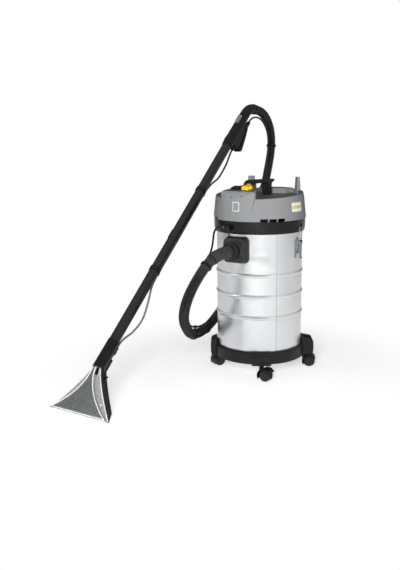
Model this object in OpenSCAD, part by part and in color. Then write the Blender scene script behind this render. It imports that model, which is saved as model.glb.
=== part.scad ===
// Spot extractor: a wheeled steel tank with a motor head, a suction hose, a
// spray line, a two-piece wand and a clear floor nozzle.
// Units are millimetres. +Z is up, the inlet port faces -Y, and the origin is
// on the floor under the axis of the tank.

/* [Tank] */
// Outer diameter of the steel tank
tank_d = 310; // [280:1:340]
// Thickness of the tank's steel wall
tank_wall = 1.2; // [1:0.1:2]
// Height of the tank's bottom above the floor
tank_bottom_z = 88; // [84:1:96]
// Height of the tank from its bottom to its rolled rim
tank_h = 438; // [400:1:460]
// How far each stiffening bead stands out of the wall
bead_out = 3.5; // [2:0.5:5]
// Spacing of the stiffening beads
bead_pitch = 75.5; // [60:0.5:90]

/* [Trolley] */
// Height of the trolley ring's skirt
skirt_h = 44; // [40:1:50]
// Thickness of the trolley ring's walls
skirt_wall = 4; // [3:0.5:5]
// Turn of the caster blocks from the inlet port
trolley_turn = 33; // [30:1:40]
// Width of each caster block
block_w = 68; // [56:1:72]

/* [Casters] */
// Diameter of the caster wheels
wheel_d = 44; // [38:1:46]
// Thickness of one caster wheel
wheel_w = 14; // [10:0.5:15]
// Distance from the swivel axis back to the axle
caster_trail = 19; // [14:1:21]
// Radius of the swivel stem
stem_r = 5; // [4:0.5:6]
// Radius of the axle
axle_r = 3; // [2.5:0.5:4]

/* [Head] */
// Height of the black band that closes the tank
band_h = 44; // [38:1:50]
// How far the band stands out past the tank
band_out = 10; // [9:0.5:12]
// Height of the grey cover above the band
cover_h = 86; // [78:1:96]
// Thickness of the cover's wall
cover_wall = 3; // [2.5:0.5:4]
// Diameter of the rotary selector knob
knob_d = 42; // [36:1:46]
// Height of the carrying handle above the floor
handle_top_z = 702; // [695:1:712]

/* [Inlet] */
// Width of the square inlet flange
port_w = 90; // [80:1:96]
// Depth of the inlet's centre below the tank's top
port_drop = 60; // [51:1:76]
// Radius of the inlet's bore, in which the hose cuff turns
port_bore_r = 24; // [22:0.5:26]

/* [Hose] */
// Outer diameter of the suction hose
hose_d = 36; // [34:1:38]
// Inner diameter of the suction hose
hose_bore = 29; // [26:1:30]
// Outer diameter of the spray hose
spray_d = 7; // [6:0.5:8]

/* [Wand] */
// Outer diameter of the wand tubes
wand_d = 36; // [34:1:38]
// Wall of the wand tubes
wand_wall = 2; // [1.5:0.5:3]
// Visible length of the lower tube
lower_len = 482; // [440:1:490]
// Visible length of the upper tube
upper_len = 482; // [440:1:500]

/* [Nozzle] */
// Width of the nozzle's lip
lip_w = 250; // [220:1:270]
// Length of the nozzle's face from lip to neck
face_len = 162; // [150:1:165]
// Depth of the nozzle's black back
back_depth = 30; // [24:1:32]

/* [Hidden] */
$fn = 96;

run_gap = 0.05;      // radial clearance of a turning fit
seat_gap = 0.3;      // clearance between parts that seat on each other
charcoal = "#2d2e30";
grey = "#8b8c8d";
steel = "#c9cccf";

// Tank
tank_r = tank_d / 2;
tank_top_z = tank_bottom_z + tank_h;
port_z = tank_top_z - port_drop;
bead_section_r = 10;
bead_z = [for (i = [0:2]) port_z - 92 - (2 - i) * bead_pitch];
rim_r = 2.4;

// Trolley
skirt_r = tank_r + 10;
skirt_bottom_z = tank_bottom_z - 32;
skirt_top_z = skirt_bottom_z + skirt_h;
ledge_t = 4;
ledge_r = 118;
block_r = [tank_r + 23, tank_r + 46, tank_r + 46, tank_r + 26];
block_top = [1, 17, 17, 15];
block_bottom_z = skirt_bottom_z - 2;
stem_axis_r = [tank_r + 11, tank_r + 15, tank_r + 15, tank_r + 11];
holder_bore_r = 16;
stem_len = [28, 18, 18, 28];

// Casters
wheel_r = wheel_d / 2;
web_w = 8;
wheel_y = web_w / 2 + 0.6;
hood_r = wheel_r + 4.2;
hood_t = 2.4;
hood_w = 2 * (wheel_y + wheel_w) + 1.4;
fork_top_z = block_bottom_z - 1;
caster_aim = [-3, 26, 205, 68];

// Head
band_r = tank_r + band_out;
band_bottom_z = tank_top_z - 5;
band_top_z = band_bottom_z + band_h;
deck_z = tank_top_z + 8;
deck_t = 4;
deck_bore_r = 20;
skirt_in_r = tank_r + rim_r + 0.7;
cover_bottom_z = band_top_z + seat_gap;
cover_r = band_r + 1.5;
cover_top_r = tank_r - 1;
rim_z = cover_bottom_z + cover_h;
rim_tilt = 3.4;
tray_r = cover_top_r - 13;
tray_depth = 12;
nose_front_r = cover_r + 1;
nose_top_z = rim_z + 36;
nose_front_z = rim_z + 17 + seat_gap;
hump_z = rim_z + 12;
handle_foot_z = rim_z + 66 * tan(rim_tilt) - tray_depth + seat_gap;
motor_r = 66;
motor_z = deck_z + deck_t + seat_gap;
motor_h = 84;
rise_from = -88;
rise_to = -33;
rise_h = 9;
hook_phi = 138;
hook_r = tank_r - 10;

// Inlet
port_front = -(tank_r + 28);
cuff_r = port_bore_r - run_gap;

// Hose and spray line, in the frame of the whole part
hose_r = hose_d / 2;
bore_r = hose_bore / 2;
spray_r = spray_d / 2;
hose_ribs = 150;
rib_depth = 1.6;
hose_route = [
    [0, -216, 466], [0, -228, 466], [0, -240, 466],
    [0, -252, 466], [-3, -297, 458], [-10, -336, 435],
    [-22, -366, 399], [-41, -381, 355], [-63, -380, 308],
    [-86, -361, 264], [-108, -329, 228], [-130, -288, 197],
    [-151, -240, 164], [-170, -187, 142], [-184, -130, 132],
    [-195, -68, 134], [-202, -2, 152], [-207, 68, 186],
    [-211, 140, 240], [-215, 210, 304], [-218, 276, 380],
    [-222, 340, 466], [-226, 396, 552], [-229, 438, 630],
    [-230, 466, 694], [-230, 482.5, 738], [-230, 493.3, 772],
    [-230, 499.3, 807], [-230, 498.2, 842], [-230, 487.6, 875.8],
    [-230, 468.5, 905.7], [-230, 442.3, 929.7], [-230, 410.8, 946.1],
    [-230, 377.8, 953.6], [-230, 365.9, 954.7], [-230, 353, 955.9],
    [-230, 341, 957]
];

// Wand: a straight line in the plane x = wand_x
wand_x = -230;
wand_tilt = 41.3;
joint_y = -197;
joint_z = 516;
wand_r = wand_d / 2;
joint_lap = 34;
neck_from = -589.5;
grip_from = upper_len;
grip_len = 158;
grip_bend_r = 76;
grip_end_tilt = -5.3;
grip_r = wand_r + 4.5;
slide_s = grip_from + 84;
slide_len = 40;
slide_w = 17;
slide_travel = 12;
inlet_n = 43;
trigger_travel = 9;
pivot_s = grip_from + 118;
pivot_n = 34;
stem_s = grip_from + 52;
stem_pin_r = 3;
stem_reach = 62;
clip_s = [209, -177];
line_drop = wand_r + 6;
line_entry = wand_r + 12;

// Nozzle
lip_y = -737;
face_tilt = 54.9;
cover_t = 2.5;
channel_h = 14;
bottom_rise = 14;
screw_x = 74;
screw_u = 46;
neck_bore_r = 14.5;

// Free end of the spray feed and of the line on the wand
socket_phi = -11;
socket_r = band_r + 7;
socket_z = band_bottom_z + 22;
spray_route = [
    [-52.5, -165, 543], [-56.4, -164.2, 543], [-60.3, -163.5, 543],
    [-75.5, -160.6, 540.2], [-88, -158.6, 531.5], [-94.5, -159.3, 517],
    [-93, -166, 499], [-85, -184, 479], [-72, -213, 463],
    [-58, -248, 452], [-50, -284, 440], [-46, -314, 420],
    [-48, -338, 390], [-58, -352, 354], [-76, -352, 312],
    [-98, -334, 272], [-120, -302, 236], [-142, -260, 206],
    [-160, -210, 178], [-168, -150, 164], [-170, -84, 166],
    [-175, -14, 183], [-180, 58, 214], [-184, 130, 264],
    [-188, 200, 330], [-192, 266, 406], [-198, 328, 490],
    [-205, 384, 574], [-213, 424, 656], [-220, 450, 726],
    [-226, 466, 782], [-230, 473, 822], [-230, 468, 854],
    [-230, 450, 884], [-230, 424, 908], [-230, 392, 922],
    [-230, 360, 925], [-230, 336, 920.5], [-230, 318.2, 911.4],
    [-230, 315.2, 908.7], [-230, 312.4, 906.3]
];
wand_line_route = [
    [-230, 182.5, 798.8], [-230, 178.2, 795], [-230, 173.7, 791.1],
    [-230, 159, 772.9], [-230, 136.5, 742.4], [-230, 83.9, 696.2],
    [-230, 30.7, 673.5], [-230, -9.1, 649.1], [-230, -24.1, 635.9],
    [-230, -39.2, 622.7], [-230, -91, 577.2], [-230, -150.8, 524],
    [-230, -180.5, 497.2], [-230, -240.9, 444.8], [-230, -299.1, 394.3],
    [-230, -314.1, 381.1], [-230, -329.2, 367.9], [-230, -351.5, 340.3],
    [-230, -375.5, 287.3], [-230, -406.2, 239], [-230, -457.9, 206.9],
    [-230, -506.2, 193.8], [-230, -529.6, 182.5], [-230, -536.3, 178],
    [-230, -540.8, 174], [-230, -543.6, 171.6]
];
clip_steps = [5, 13, 15, 19, 23, 27];

function unit(v) = v / norm(v);
function flat(list) = [for (part = list) for (item = part) item];

// Point at t of the Catmull-Rom curve through b and c
function curve_point(a, b, c, d, t) =
    0.5 * (2 * b + (c - a) * t + (2 * a - 5 * b + 4 * c - d) * t * t
        + (3 * b - a - 3 * c + d) * t * t * t);

// Points along a route, with steps points for each of its spans
function smooth_route(p, steps) =
    concat([for (i = [0:len(p) - 2]) for (k = [0:steps - 1])
        curve_point(p[max(i - 1, 0)], p[i], p[i + 1], p[min(i + 2, len(p) - 1)], k / steps)],
        [p[len(p) - 1]]);

function path_lengths(p) = [for (i = 0, sum = 0; i < len(p);
    i = i + 1, sum = i < len(p) ? sum + norm(p[i] - p[i - 1]) : sum) sum];

// The path p again, as count spans of equal length
function evenly(p, count) =
    let(along = path_lengths(p), total = along[len(p) - 1])
    [for (k = [0:count]) [for (axis = [0:2])
        lookup(total * k / count, [for (i = [0:len(p) - 1]) [along[i], p[i][axis]]])]];

function tangents(p) = [for (i = [0:len(p) - 1])
    unit(p[min(i + 1, len(p) - 1)] - p[max(i - 1, 0)])];

// Normals carried along the tangents t without twist
function carried_normals(t, n0) =
    [for (i = 0, n = unit(n0 - (n0 * t[0]) * t[0]); i < len(t);
        i = i + 1, n = i < len(t) ? unit(n - (n * t[i]) * t[i]) : n) n];

// Rings of points, one for each path point, with the radii in radius
function rings(p, radius, sides, n0) =
    let(t = tangents(p), n = carried_normals(t, n0))
    flat([for (i = [0:len(p) - 1])
        let(b = cross(t[i], n[i]))
        [for (k = [0:sides - 1])
            p[i] + radius[i] * (cos(360 * k / sides) * n[i] + sin(360 * k / sides) * b)]]);

// Triangles of the skin between count rings of sides points, from point first
function skin(count, sides, first, flip) =
    flat([for (i = [0:count - 2]) for (k = [0:sides - 1])
        let(a = first + i * sides + k, b = first + i * sides + (k + 1) % sides,
            c = a + sides, d = b + sides)
        flip ? [[a, b, c], [b, d, c]] : [[a, c, b], [b, c, d]]]);

// Triangles between an outer ring and an inner ring of the same sides
function end_ring(outer, inner, sides, flip) =
    flat([for (k = [0:sides - 1])
        let(a = outer + k, b = outer + (k + 1) % sides, c = inner + k, d = inner + (k + 1) % sides)
        flip ? [[a, c, b], [b, c, d]] : [[a, b, c], [b, d, c]]]);

// Hollow hose along the path: outer radii vary, the bore is plain
module hollow_sweep(p, radius, bore, sides, n0) {
    inner_path = [for (i = [0:4:len(p) - 1]) p[i]];
    outer_n = len(p);
    inner_n = len(inner_path);
    t = tangents(p);
    n = carried_normals(t, n0);
    outer = rings(p, radius, sides, n0);
    inner = flat([for (i = [0:4:len(p) - 1])
        let(b = cross(t[i], n[i]))
        [for (k = [0:sides - 1])
            p[i] + bore * (cos(360 * k / sides) * n[i] + sin(360 * k / sides) * b)]]);
    first_inner = outer_n * sides;
    polyhedron(
        concat(outer, inner),
        concat(
            skin(outer_n, sides, 0, false),
            skin(inner_n, sides, first_inner, true),
            end_ring(0, first_inner, sides, false),
            end_ring((outer_n - 1) * sides, first_inner + (inner_n - 1) * sides, sides, true)));
}

// Solid cord along the path
module solid_sweep(p, r, sides, n0) {
    count = len(p);
    points = rings(p, [for (i = [0:count - 1]) r], sides, n0);
    polyhedron(
        points,
        concat(
            skin(count, sides, 0, false),
            [for (k = [1:sides - 2]) [0, k, k + 1]],
            [for (k = [1:sides - 2])
                [(count - 1) * sides, (count - 1) * sides + k + 1, (count - 1) * sides + k]]));
}

hose_path = evenly(smooth_route(hose_route, 8), 2 * hose_ribs);
hose_radii = [for (i = [0:len(hose_path) - 1]) hose_r - (i % 2) * rib_depth];
sleeve_count = 16;
sleeve_path = [for (i = [0:sleeve_count]) hose_path[i]];
sleeve_radii = [for (i = [0:sleeve_count]) hose_r + 3 - (i % 2) * 1.2];
spray_path = smooth_route(spray_route, 2);
spray_fine = smooth_route(spray_route, 12);
line_path = smooth_route(wand_line_route, 1);

// Least gap of the hose to itself, between points more than two diameters apart
hose_self_gap = min([for (i = [0:6:len(hose_path) - 1]) for (k = [i + 12:6:len(hose_path) - 1])
    norm(hose_path[i] - hose_path[k]) > 2 * hose_d ? norm(hose_path[i] - hose_path[k]) - hose_d : 999]);
echo(hose_self_gap = hose_self_gap);

// Places children at an angle from the inlet, at a radius and a height
module around(phi, r, z = 0) {
    rotate([0, 0, phi]) translate([0, -r, z]) children();
}

module wand_frame() {
    translate([wand_x, joint_y, joint_z]) rotate([wand_tilt, 0, 0]) children();
}

// Cylinder along the wand's axis from s0 to s1
module wand_cyl(s0, s1, r1, r2) {
    translate([0, s0, 0]) rotate([-90, 0, 0]) cylinder(h = s1 - s0, r1 = r1, r2 = r2);
}

module nozzle_frame() {
    translate([wand_x, lip_y, 0]) rotate([face_tilt, 0, 0]) children();
}

// Box that is centred in X, from the given low corner in Y and Z
module slab(x, y0, y1, z0, z1) {
    translate([-x / 2, y0, z0]) cube([x, y1 - y0, z1 - z0]);
}

// Pie-shaped block between two angles from the inlet
module sector(r0, r1, z0, z1, phi0, phi1) {
    translate([0, 0, z0]) rotate([0, 0, phi0 - 90])
        rotate_extrude(angle = phi1 - phi0) translate([r0, 0]) square([r1 - r0, z1 - z0]);
}

// ---- Trolley and tank ----

module caster_block(outer_r, rise) {
    top = skirt_top_z + rise;
    rotate([90, 0, 90]) translate([0, 0, -block_w / 2]) linear_extrude(height = block_w) polygon([
        [-(tank_r + 1.6), block_bottom_z], [-(tank_r + 1.6), top], [-(tank_r + 5), top + 0.5],
        [-(outer_r - 4), top - 7], [-outer_r, top - 16], [-outer_r, block_bottom_z + 14],
        [-(outer_r - 3), block_bottom_z]]);
}

// Socket with a ribbed outside in which a spare tool's tube stands
module holder_cut(outer_r, rise) {
    translate([0, -(tank_r + 26), block_bottom_z + 22]) cylinder(h = 60, r = holder_bore_r);
    for (z = [block_bottom_z + 12:10:block_bottom_z + 42])
        slab(block_w + 2, -outer_r - 1, -outer_r + 2.5, z, z + 4);
}

module trolley_ring() color(charcoal) {
    difference() {
        union() {
            rotate_extrude() polygon([
                [skirt_r, skirt_bottom_z], [skirt_r, skirt_top_z - 6], [skirt_r - 4, skirt_top_z],
                [tank_r + 1.6, skirt_top_z], [tank_r + 1.6, tank_bottom_z - seat_gap],
                [ledge_r, tank_bottom_z - seat_gap], [ledge_r, tank_bottom_z - seat_gap - ledge_t],
                [skirt_r - skirt_wall, tank_bottom_z - seat_gap - ledge_t],
                [skirt_r - skirt_wall, skirt_bottom_z]]);
            for (i = [0:3]) rotate([0, 0, trolley_turn + 90 * i]) {
                caster_block(block_r[i], block_top[i]);
                slab(34, -(skirt_r - 1), -(stem_axis_r[i] - 16), block_bottom_z, tank_bottom_z - seat_gap);
            }
        }
        for (i = [1, 2]) rotate([0, 0, trolley_turn + 90 * i]) holder_cut(block_r[i], block_top[i]);
        for (i = [0:3]) around(trolley_turn + 90 * i, stem_axis_r[i], block_bottom_z - 1)
            cylinder(h = stem_len[i] + 2, r = stem_r + run_gap);
        translate([0, 0, tank_bottom_z]) cylinder(h = 60, r = tank_r + 1.2);
    }
}

module tank_profile(r, section, z0, z1) {
    translate([0, 0, z0]) cylinder(h = z1 - z0, r = r);
    for (z = bead_z) translate([0, 0, z]) rotate_extrude()
        translate([r + bead_out - section, 0]) circle(r = section);
}

module tank() color(steel) {
    difference() {
        union() {
            tank_profile(tank_r, bead_section_r, tank_bottom_z, tank_top_z);
            translate([0, 0, tank_top_z]) rotate_extrude()
                translate([tank_r - rim_r + 0.6, 0]) circle(r = rim_r);
        }
        tank_profile(tank_r - tank_wall, bead_section_r - tank_wall, tank_bottom_z + tank_wall,
            tank_top_z + 9);
        translate([0, 0, port_z]) rotate([90, 0, 0]) cylinder(h = tank_r + 10, r = port_bore_r + 5);
        translate([0, 0, tank_bottom_z - 1]) cylinder(h = 1.4, r = 92);
    }
}

module fresh_tank() color("#e8e6df") {
    outer = tank_r - tank_wall - 5;
    difference() {
        translate([0, 0, tank_bottom_z + tank_wall + seat_gap]) cylinder(h = 118, r = outer);
        translate([0, 0, tank_bottom_z + tank_wall + seat_gap + 3]) cylinder(h = 112, r = outer - 3);
        translate([0, 70, tank_bottom_z + 100]) cylinder(h = 40, r = 18);
    }
}

// ---- Casters ----

module caster_frame(i) {
    around(trolley_turn + 90 * i, stem_axis_r[i]) rotate([0, 0, caster_aim[i] - trolley_turn - 90 * i])
        children();
}

module disc(r, y0, y1) {
    translate([caster_trail, y0, wheel_r]) rotate([-90, 0, 0]) cylinder(h = y1 - y0, r = r);
}

module caster_fork(i) color(charcoal) caster_frame(i) {
    difference() {
        union() {
            intersection() {
                difference() {
                    disc(hood_r, -hood_w / 2, hood_w / 2);
                    disc(hood_r - hood_t, -hood_w / 2 - 1, hood_w / 2 + 1);
                }
                translate([caster_trail, 0, wheel_r]) rotate([0, -28, 0]) slab(70, -30, 30, 0, 40);
            }
            intersection() {
                disc(hood_r - 1, -web_w / 2, web_w / 2);
                translate([caster_trail, 0, wheel_r]) rotate([0, -28, 0]) slab(70, -30, 30, -6, 40);
            }
            disc(axle_r + 3, -web_w / 2, web_w / 2);
            translate([0, 0, wheel_r + 12]) cylinder(h = fork_top_z - wheel_r - 12, r = stem_r + 3.5);
            translate([0, 0, wheel_r + 12]) cylinder(h = block_bottom_z + stem_len[i] - wheel_r - 12, r = stem_r);
        }
        disc(axle_r, -web_w, web_w);
        disc(wheel_r + 1.2, web_w / 2 + 0.01, hood_w / 2 + 2);
        disc(wheel_r + 1.2, -hood_w / 2 - 2, -web_w / 2 - 0.01);
    }
}

module caster_axle(i) color("#b9bcc0") caster_frame(i) {
    disc(axle_r, -wheel_y - wheel_w + 2.5, wheel_y + wheel_w - 2.5);
}

module caster_wheel() {
    rotate([-90, 0, 0]) difference() {
        rotate_extrude() polygon([
            [0, 0], [wheel_r - 0.8, 0], [wheel_r, 1], [wheel_r, wheel_w - 8], [wheel_r - 1.2, wheel_w - 5.5],
            [wheel_r - 3.4, wheel_w - 3.2], [wheel_r - 7, wheel_w - 1.2], [wheel_r - 12, wheel_w],
            [0, wheel_w]]);
        translate([0, 0, -1]) cylinder(h = wheel_w - 1, r = axle_r + run_gap);
    }
}

module caster_wheels(i) color("#232426") caster_frame(i) {
    for (side = [0, 1]) translate([caster_trail, 0, wheel_r]) mirror([0, side, 0])
        translate([0, wheel_y, 0]) caster_wheel();
}

// ---- Inlet ----

module inlet_flange() color(charcoal) {
    difference() {
        union() {
            hull() {
                for (x = [-1, 1]) for (z = [-1, 1])
                    translate([x * (port_w / 2 - 16), -tank_r + 14, port_z + z * (port_w / 2 - 14)])
                        rotate([90, 0, 0]) cylinder(h = 20, r = 16, $fn = 32);
                for (x = [-1, 1]) for (z = [-1, 1])
                    translate([x * (port_w / 2 - 21), port_front + 1, port_z + z * (port_w / 2 - 19)])
                        rotate([90, 0, 0]) cylinder(h = 1, r = 16, $fn = 32);
            }
            translate([0, port_front + 2, port_z]) rotate([90, 0, 0]) cylinder(h = 12, r = 38);
        }
        translate([0, 0, port_z]) rotate([90, 0, 0]) cylinder(h = tank_r + 60, r = port_bore_r);
        translate([0, 0, port_z - 80]) cylinder(h = 160, r = tank_r + 0.1);
    }
    difference() {
        translate([0, -tank_r + 22, port_z]) rotate([90, 0, 0]) cylinder(h = 26, r = port_bore_r + 3.5);
        translate([0, 0, port_z]) rotate([90, 0, 0]) cylinder(h = tank_r + 60, r = port_bore_r);
    }
}

module inlet_deflector() color(charcoal) {
    deflect_y = -tank_r + 22 + seat_gap;
    difference() {
        union() {
            translate([0, deflect_y + 4, port_z]) rotate([90, 0, 0]) cylinder(h = 4, r = port_bore_r + 3.5);
            translate([0, deflect_y + 34, port_z]) rotate([90, 0, 0]) cylinder(h = 32, r = port_bore_r + 3);
        }
        translate([0, deflect_y + 31, port_z]) rotate([90, 0, 0]) cylinder(h = 40, r = port_bore_r);
        slab(80, deflect_y + 6, deflect_y + 40, port_z - 60, port_z - 4);
    }
}

// Cuff that turns in the inlet's bore, on the hose's own axis
module inlet_cuff() color(charcoal) {
    cuff_front = 33 - port_front;
    translate([0, 0, port_z]) rotate([90, 0, 0]) difference() {
        union() {
            translate([0, 0, tank_r - 18]) cylinder(h = 60, r = cuff_r);
            translate([0, 0, -port_front + 10 + seat_gap]) cylinder(h = 8, r = port_bore_r + 8);
            translate([0, 0, -port_front + 18]) cylinder(h = 10, r1 = port_bore_r + 8, r2 = hose_r + 5);
            translate([0, 0, -port_front + 18]) cylinder(h = cuff_front + port_front - 18 - seat_gap,
                r = hose_r + 3);
        }
        translate([0, 0, tank_r - 30]) cylinder(h = 150, r = bore_r);
    }
}

// ---- Latches: +X is the right-hand side, the left is its mirror ----

latch_z = port_z + 18;
lever_pivot_x = tank_r + 10;
bail_pivot_x = tank_r + 5.2;
bail_drop = 22;
bail_seat_z = band_bottom_z + 17;
bail_wire = 1.4;
bail_half = 12;
pivot_pin_r = 1.6;
lever_w = 15;

module latch_side(side) {
    mirror([side, 0, 0]) children();
}

// Plate riveted to the tank, with two ears that hold the lever's pin
module latch_base() color(steel) {
    difference() {
        translate([tank_r + 0.3, -9, latch_z - 41]) cube([2, 18, 58]);
        for (z = [latch_z - 35, latch_z + 12]) translate([tank_r - 5, 0, z]) rotate([0, 90, 0])
            cylinder(h = 12, r = 2.1);
    }
    for (z = [latch_z - 35, latch_z + 12]) translate([tank_r + 0.3, 0, z]) rotate([0, 90, 0]) {
        cylinder(h = 2, r = 2.1);
        translate([0, 0, 2]) cylinder(h = 1.2, r = 3.4);
    }
    for (y = [-1, 1]) translate([0, y * 8, 0]) difference() {
        translate([tank_r + 1, y > 0 ? 0 : -1.6, latch_z - 7]) cube([13.5, 1.6, 14]);
        translate([lever_pivot_x, -3, latch_z]) rotate([-90, 0, 0])
            cylinder(h = 6, r = pivot_pin_r + run_gap);
    }
}

// Over-centre lever: the bail's cross pin sits below and inside the pivot
module latch_lever() color("#b5b7b9") {
    translate([lever_pivot_x, -9.4, latch_z]) rotate([-90, 0, 0]) cylinder(h = 18.8, r = pivot_pin_r);
    difference() {
        union() {
            translate([lever_pivot_x, -lever_w / 2, latch_z]) rotate([-90, 0, 0])
                cylinder(h = lever_w, r = 3.2);
            translate([lever_pivot_x, -lever_w / 2, latch_z - 54]) cube([2, lever_w, 54]);
            translate([lever_pivot_x, -lever_w / 2, latch_z - 57]) cube([6, lever_w, 3.5]);
            for (y = [-lever_w / 2, lever_w / 2 - 1.5]) translate([0, y + 1.5, 0]) rotate([90, 0, 0])
                linear_extrude(height = 1.5) polygon([
                    [lever_pivot_x - 3, latch_z], [bail_pivot_x - 2.6, latch_z - bail_drop + 4],
                    [bail_pivot_x - 2.6, latch_z - bail_drop - 3], [lever_pivot_x + 1, latch_z - bail_drop - 8],
                    [lever_pivot_x + 1, latch_z]]);
        }
        translate([bail_pivot_x, -12, latch_z - bail_drop]) rotate([-90, 0, 0])
            cylinder(h = 24, r = bail_wire + run_gap);
    }
}

// Wire bail: a cross pin in the lever, two legs and a hook over the band
module latch_bail() color("#d5d7d9") {
    hook_x = band_r - 2.6;
    leg_x = band_r + 4.2;
    bail_z = latch_z - bail_drop;
    hook_z = bail_seat_z + bail_wire + 0.7;
    leg = [leg_x - bail_pivot_x, 0, hook_z - bail_z];
    translate([bail_pivot_x, -bail_half - 1.3, bail_z]) rotate([-90, 0, 0])
        cylinder(h = 2 * bail_half + 2.6, r = bail_wire);
    for (y = [-bail_half, bail_half]) {
        translate([bail_pivot_x, y, bail_z]) aim(leg) cylinder(h = norm(leg), r = bail_wire - 0.15);
        translate([hook_x - 1.3, y, hook_z]) rotate([0, 90, 0]) cylinder(h = leg_x - hook_x + 2.6, r = bail_wire);
    }
    translate([hook_x, -bail_half, hook_z]) rotate([-90, 0, 0])
        cylinder(h = 2 * bail_half, r = bail_wire - 0.15);
}

// ---- Head ----

module head_band() color(charcoal) {
    difference() {
        union() {
            rotate_extrude() polygon([
                [skirt_in_r, band_bottom_z], [band_r - 3, band_bottom_z],
                [band_r - 3, band_bottom_z + 5], [band_r - 1, band_bottom_z + 7],
                [band_r, band_top_z - 2], [band_r, band_top_z],
                [band_r - 6, band_top_z], [band_r - 6, deck_z + deck_t],
                [deck_bore_r, deck_z + deck_t], [deck_bore_r, deck_z], [skirt_in_r, deck_z]]);
            sector(band_r - 5, band_r, band_top_z - 2, band_top_z + rise_h, rise_from, rise_to);
        }
        for (side = [0, 1]) mirror([side, 0, 0]) translate([band_r - 5, -17, bail_seat_z]) cube([20, 34, 12]);
    }
}

module head_seal() color("#1b1b1c") {
    rotate_extrude() translate([tank_r - 9, tank_top_z + rim_r + seat_gap])
        square([8, deck_z - tank_top_z - rim_r - 2 * seat_gap]);
}

// Solid under the cover's outer (grow = 0) or inner skin
module cover_solid(grow) {
    intersection() {
        rotate_extrude() polygon([
            [0, cover_bottom_z - (grow > 0 ? 5 : 0)],
            [cover_r - grow, cover_bottom_z - (grow > 0 ? 5 : 0)],
            [cover_r - grow, cover_bottom_z + 8],
            [cover_top_r + 6 - grow, rim_z - 14], [cover_top_r + 2 - grow, rim_z + 4],
            [cover_top_r - 3 - grow, rim_z + 20], [0, rim_z + 20]]);
        translate([0, 0, rim_z - grow]) rotate([rim_tilt, 0, 0]) translate([-200, -200, -220])
            cube([400, 400, 220]);
    }
}

// Raised front block that carries the switches: narrow at its foot and at its rear
module nose_solid(grow) {
    intersection() {
        cylinder(h = nose_top_z + 1, r = nose_front_r - grow);
        translate([0, -40 - grow, 0]) rotate([90, 0, 0]) linear_extrude(height = 160) polygon([
            [-50 + grow, cover_bottom_z + 1], [50 - grow, cover_bottom_z + 1],
            [69 - grow, rim_z + 8 - grow], [60 - grow, rim_z + 19 - grow],
            [32 - grow, nose_top_z - 6 - grow], [20, nose_top_z - grow],
            [-20, nose_top_z - grow], [-32 + grow, nose_top_z - 6 - grow],
            [-60 + grow, rim_z + 19 - grow], [-69 + grow, rim_z + 8 - grow]]);
        rotate([90, 0, 90]) translate([0, 0, -90]) linear_extrude(height = 180) polygon([
            [-190, 0], [-190, cover_bottom_z + 40], [-160 + grow, rim_z + 9 - grow],
            [-152 + grow, rim_z + 17 - grow], [-62, nose_top_z - grow],
            [-50 - grow, nose_top_z - grow], [-44 - grow, 0]]);
        linear_extrude(height = nose_top_z + 1) polygon([
            [-110 + grow, -200], [110 - grow, -200], [68 - grow, -144], [20 - grow, -62],
            [14 - grow, -46 - grow], [-14 + grow, -46 - grow], [-20 + grow, -62], [-68 + grow, -144]]);
    }
}

module rear_hump(grow) {
    intersection() {
        cylinder(h = rim_z + 30, r = cover_top_r - 1 - grow);
        translate([0, 0, rim_z - 30]) linear_extrude(height = hump_z - rim_z + 30 - grow) polygon([
            [-52 + grow, 94 + grow], [52 - grow, 94 + grow], [70 - grow, 160], [-70 + grow, 160]]);
    }
}

module vent_pocket(phi) {
    rotate([0, 0, phi]) for (i = [-1:1])
        translate([i * 31 - 13.25, -cover_r - 5, cover_bottom_z - 1]) cube([26.5, 16, 11]);
}

// Flat post that the mains cord is wound round, wide along the rim and thin across it
module cable_post() {
    intersection() {
        rotate([90, 0, 0]) linear_extrude(height = 20, center = true)
            polygon([[-13, 0], [13, 0], [12, 60.5], [10.5, 62], [-10.5, 62], [-12, 60.5]]);
        rotate([90, 0, 90]) linear_extrude(height = 30, center = true)
            polygon([[-8, 0], [8, 0], [4, 61], [3, 62], [-3, 62], [-4, 61]]);
    }
}

module head_cover() color(grey) {
    difference() {
        union() {
            difference() {
                cover_solid(0);
                translate([0, 0, rim_z]) rotate([rim_tilt, 0, 0]) translate([0, 0, -tray_depth])
                    cylinder(h = 40, r = tray_r);
            }
            nose_solid(0);
            rear_hump(0);
            for (side = [-1, 1]) rotate([0, 0, side * hook_phi]) translate([0, -hook_r, rim_z - 8])
                cable_post();
        }
        difference() {
            cover_solid(cover_wall);
            translate([0, 0, rim_z]) rotate([rim_tilt, 0, 0]) translate([0, 0, -tray_depth - cover_wall])
                cylinder(h = 60, r = tray_r + cover_wall);
        }
        nose_solid(cover_wall);
        sector(cover_r - 8, cover_r + 8, cover_bottom_z - 2, band_top_z + rise_h + seat_gap,
            rise_from - 1, rise_to + 1);
        vent_pocket(46);
        vent_pocket(-134);
        knob_seat() translate([0, 0, -20]) cylinder(h = 40, r = 5 + run_gap);
        rocker_seat() slab(26.4, -11.2, 11.2, -20, 12);
        translate([0, -60, nose_top_z - 20]) cylinder(h = 30, r = 3 + run_gap);
        translate([0, 53, rim_z - 30]) cylinder(h = 40, r = 3 + run_gap);
        translate([-13.5, 39.5, handle_foot_z - seat_gap]) cube([27, 27, 30]);
    }
}

// Seats of the knob and the rocker on the sloping top of the nose
module knob_seat() {
    translate([19, -121, rim_z + 23.1]) rotate([11, 0, 0]) children();
}

module rocker_seat() {
    translate([-20, -123, rim_z + 22.7]) rotate([11, 0, 0]) children();
}

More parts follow.
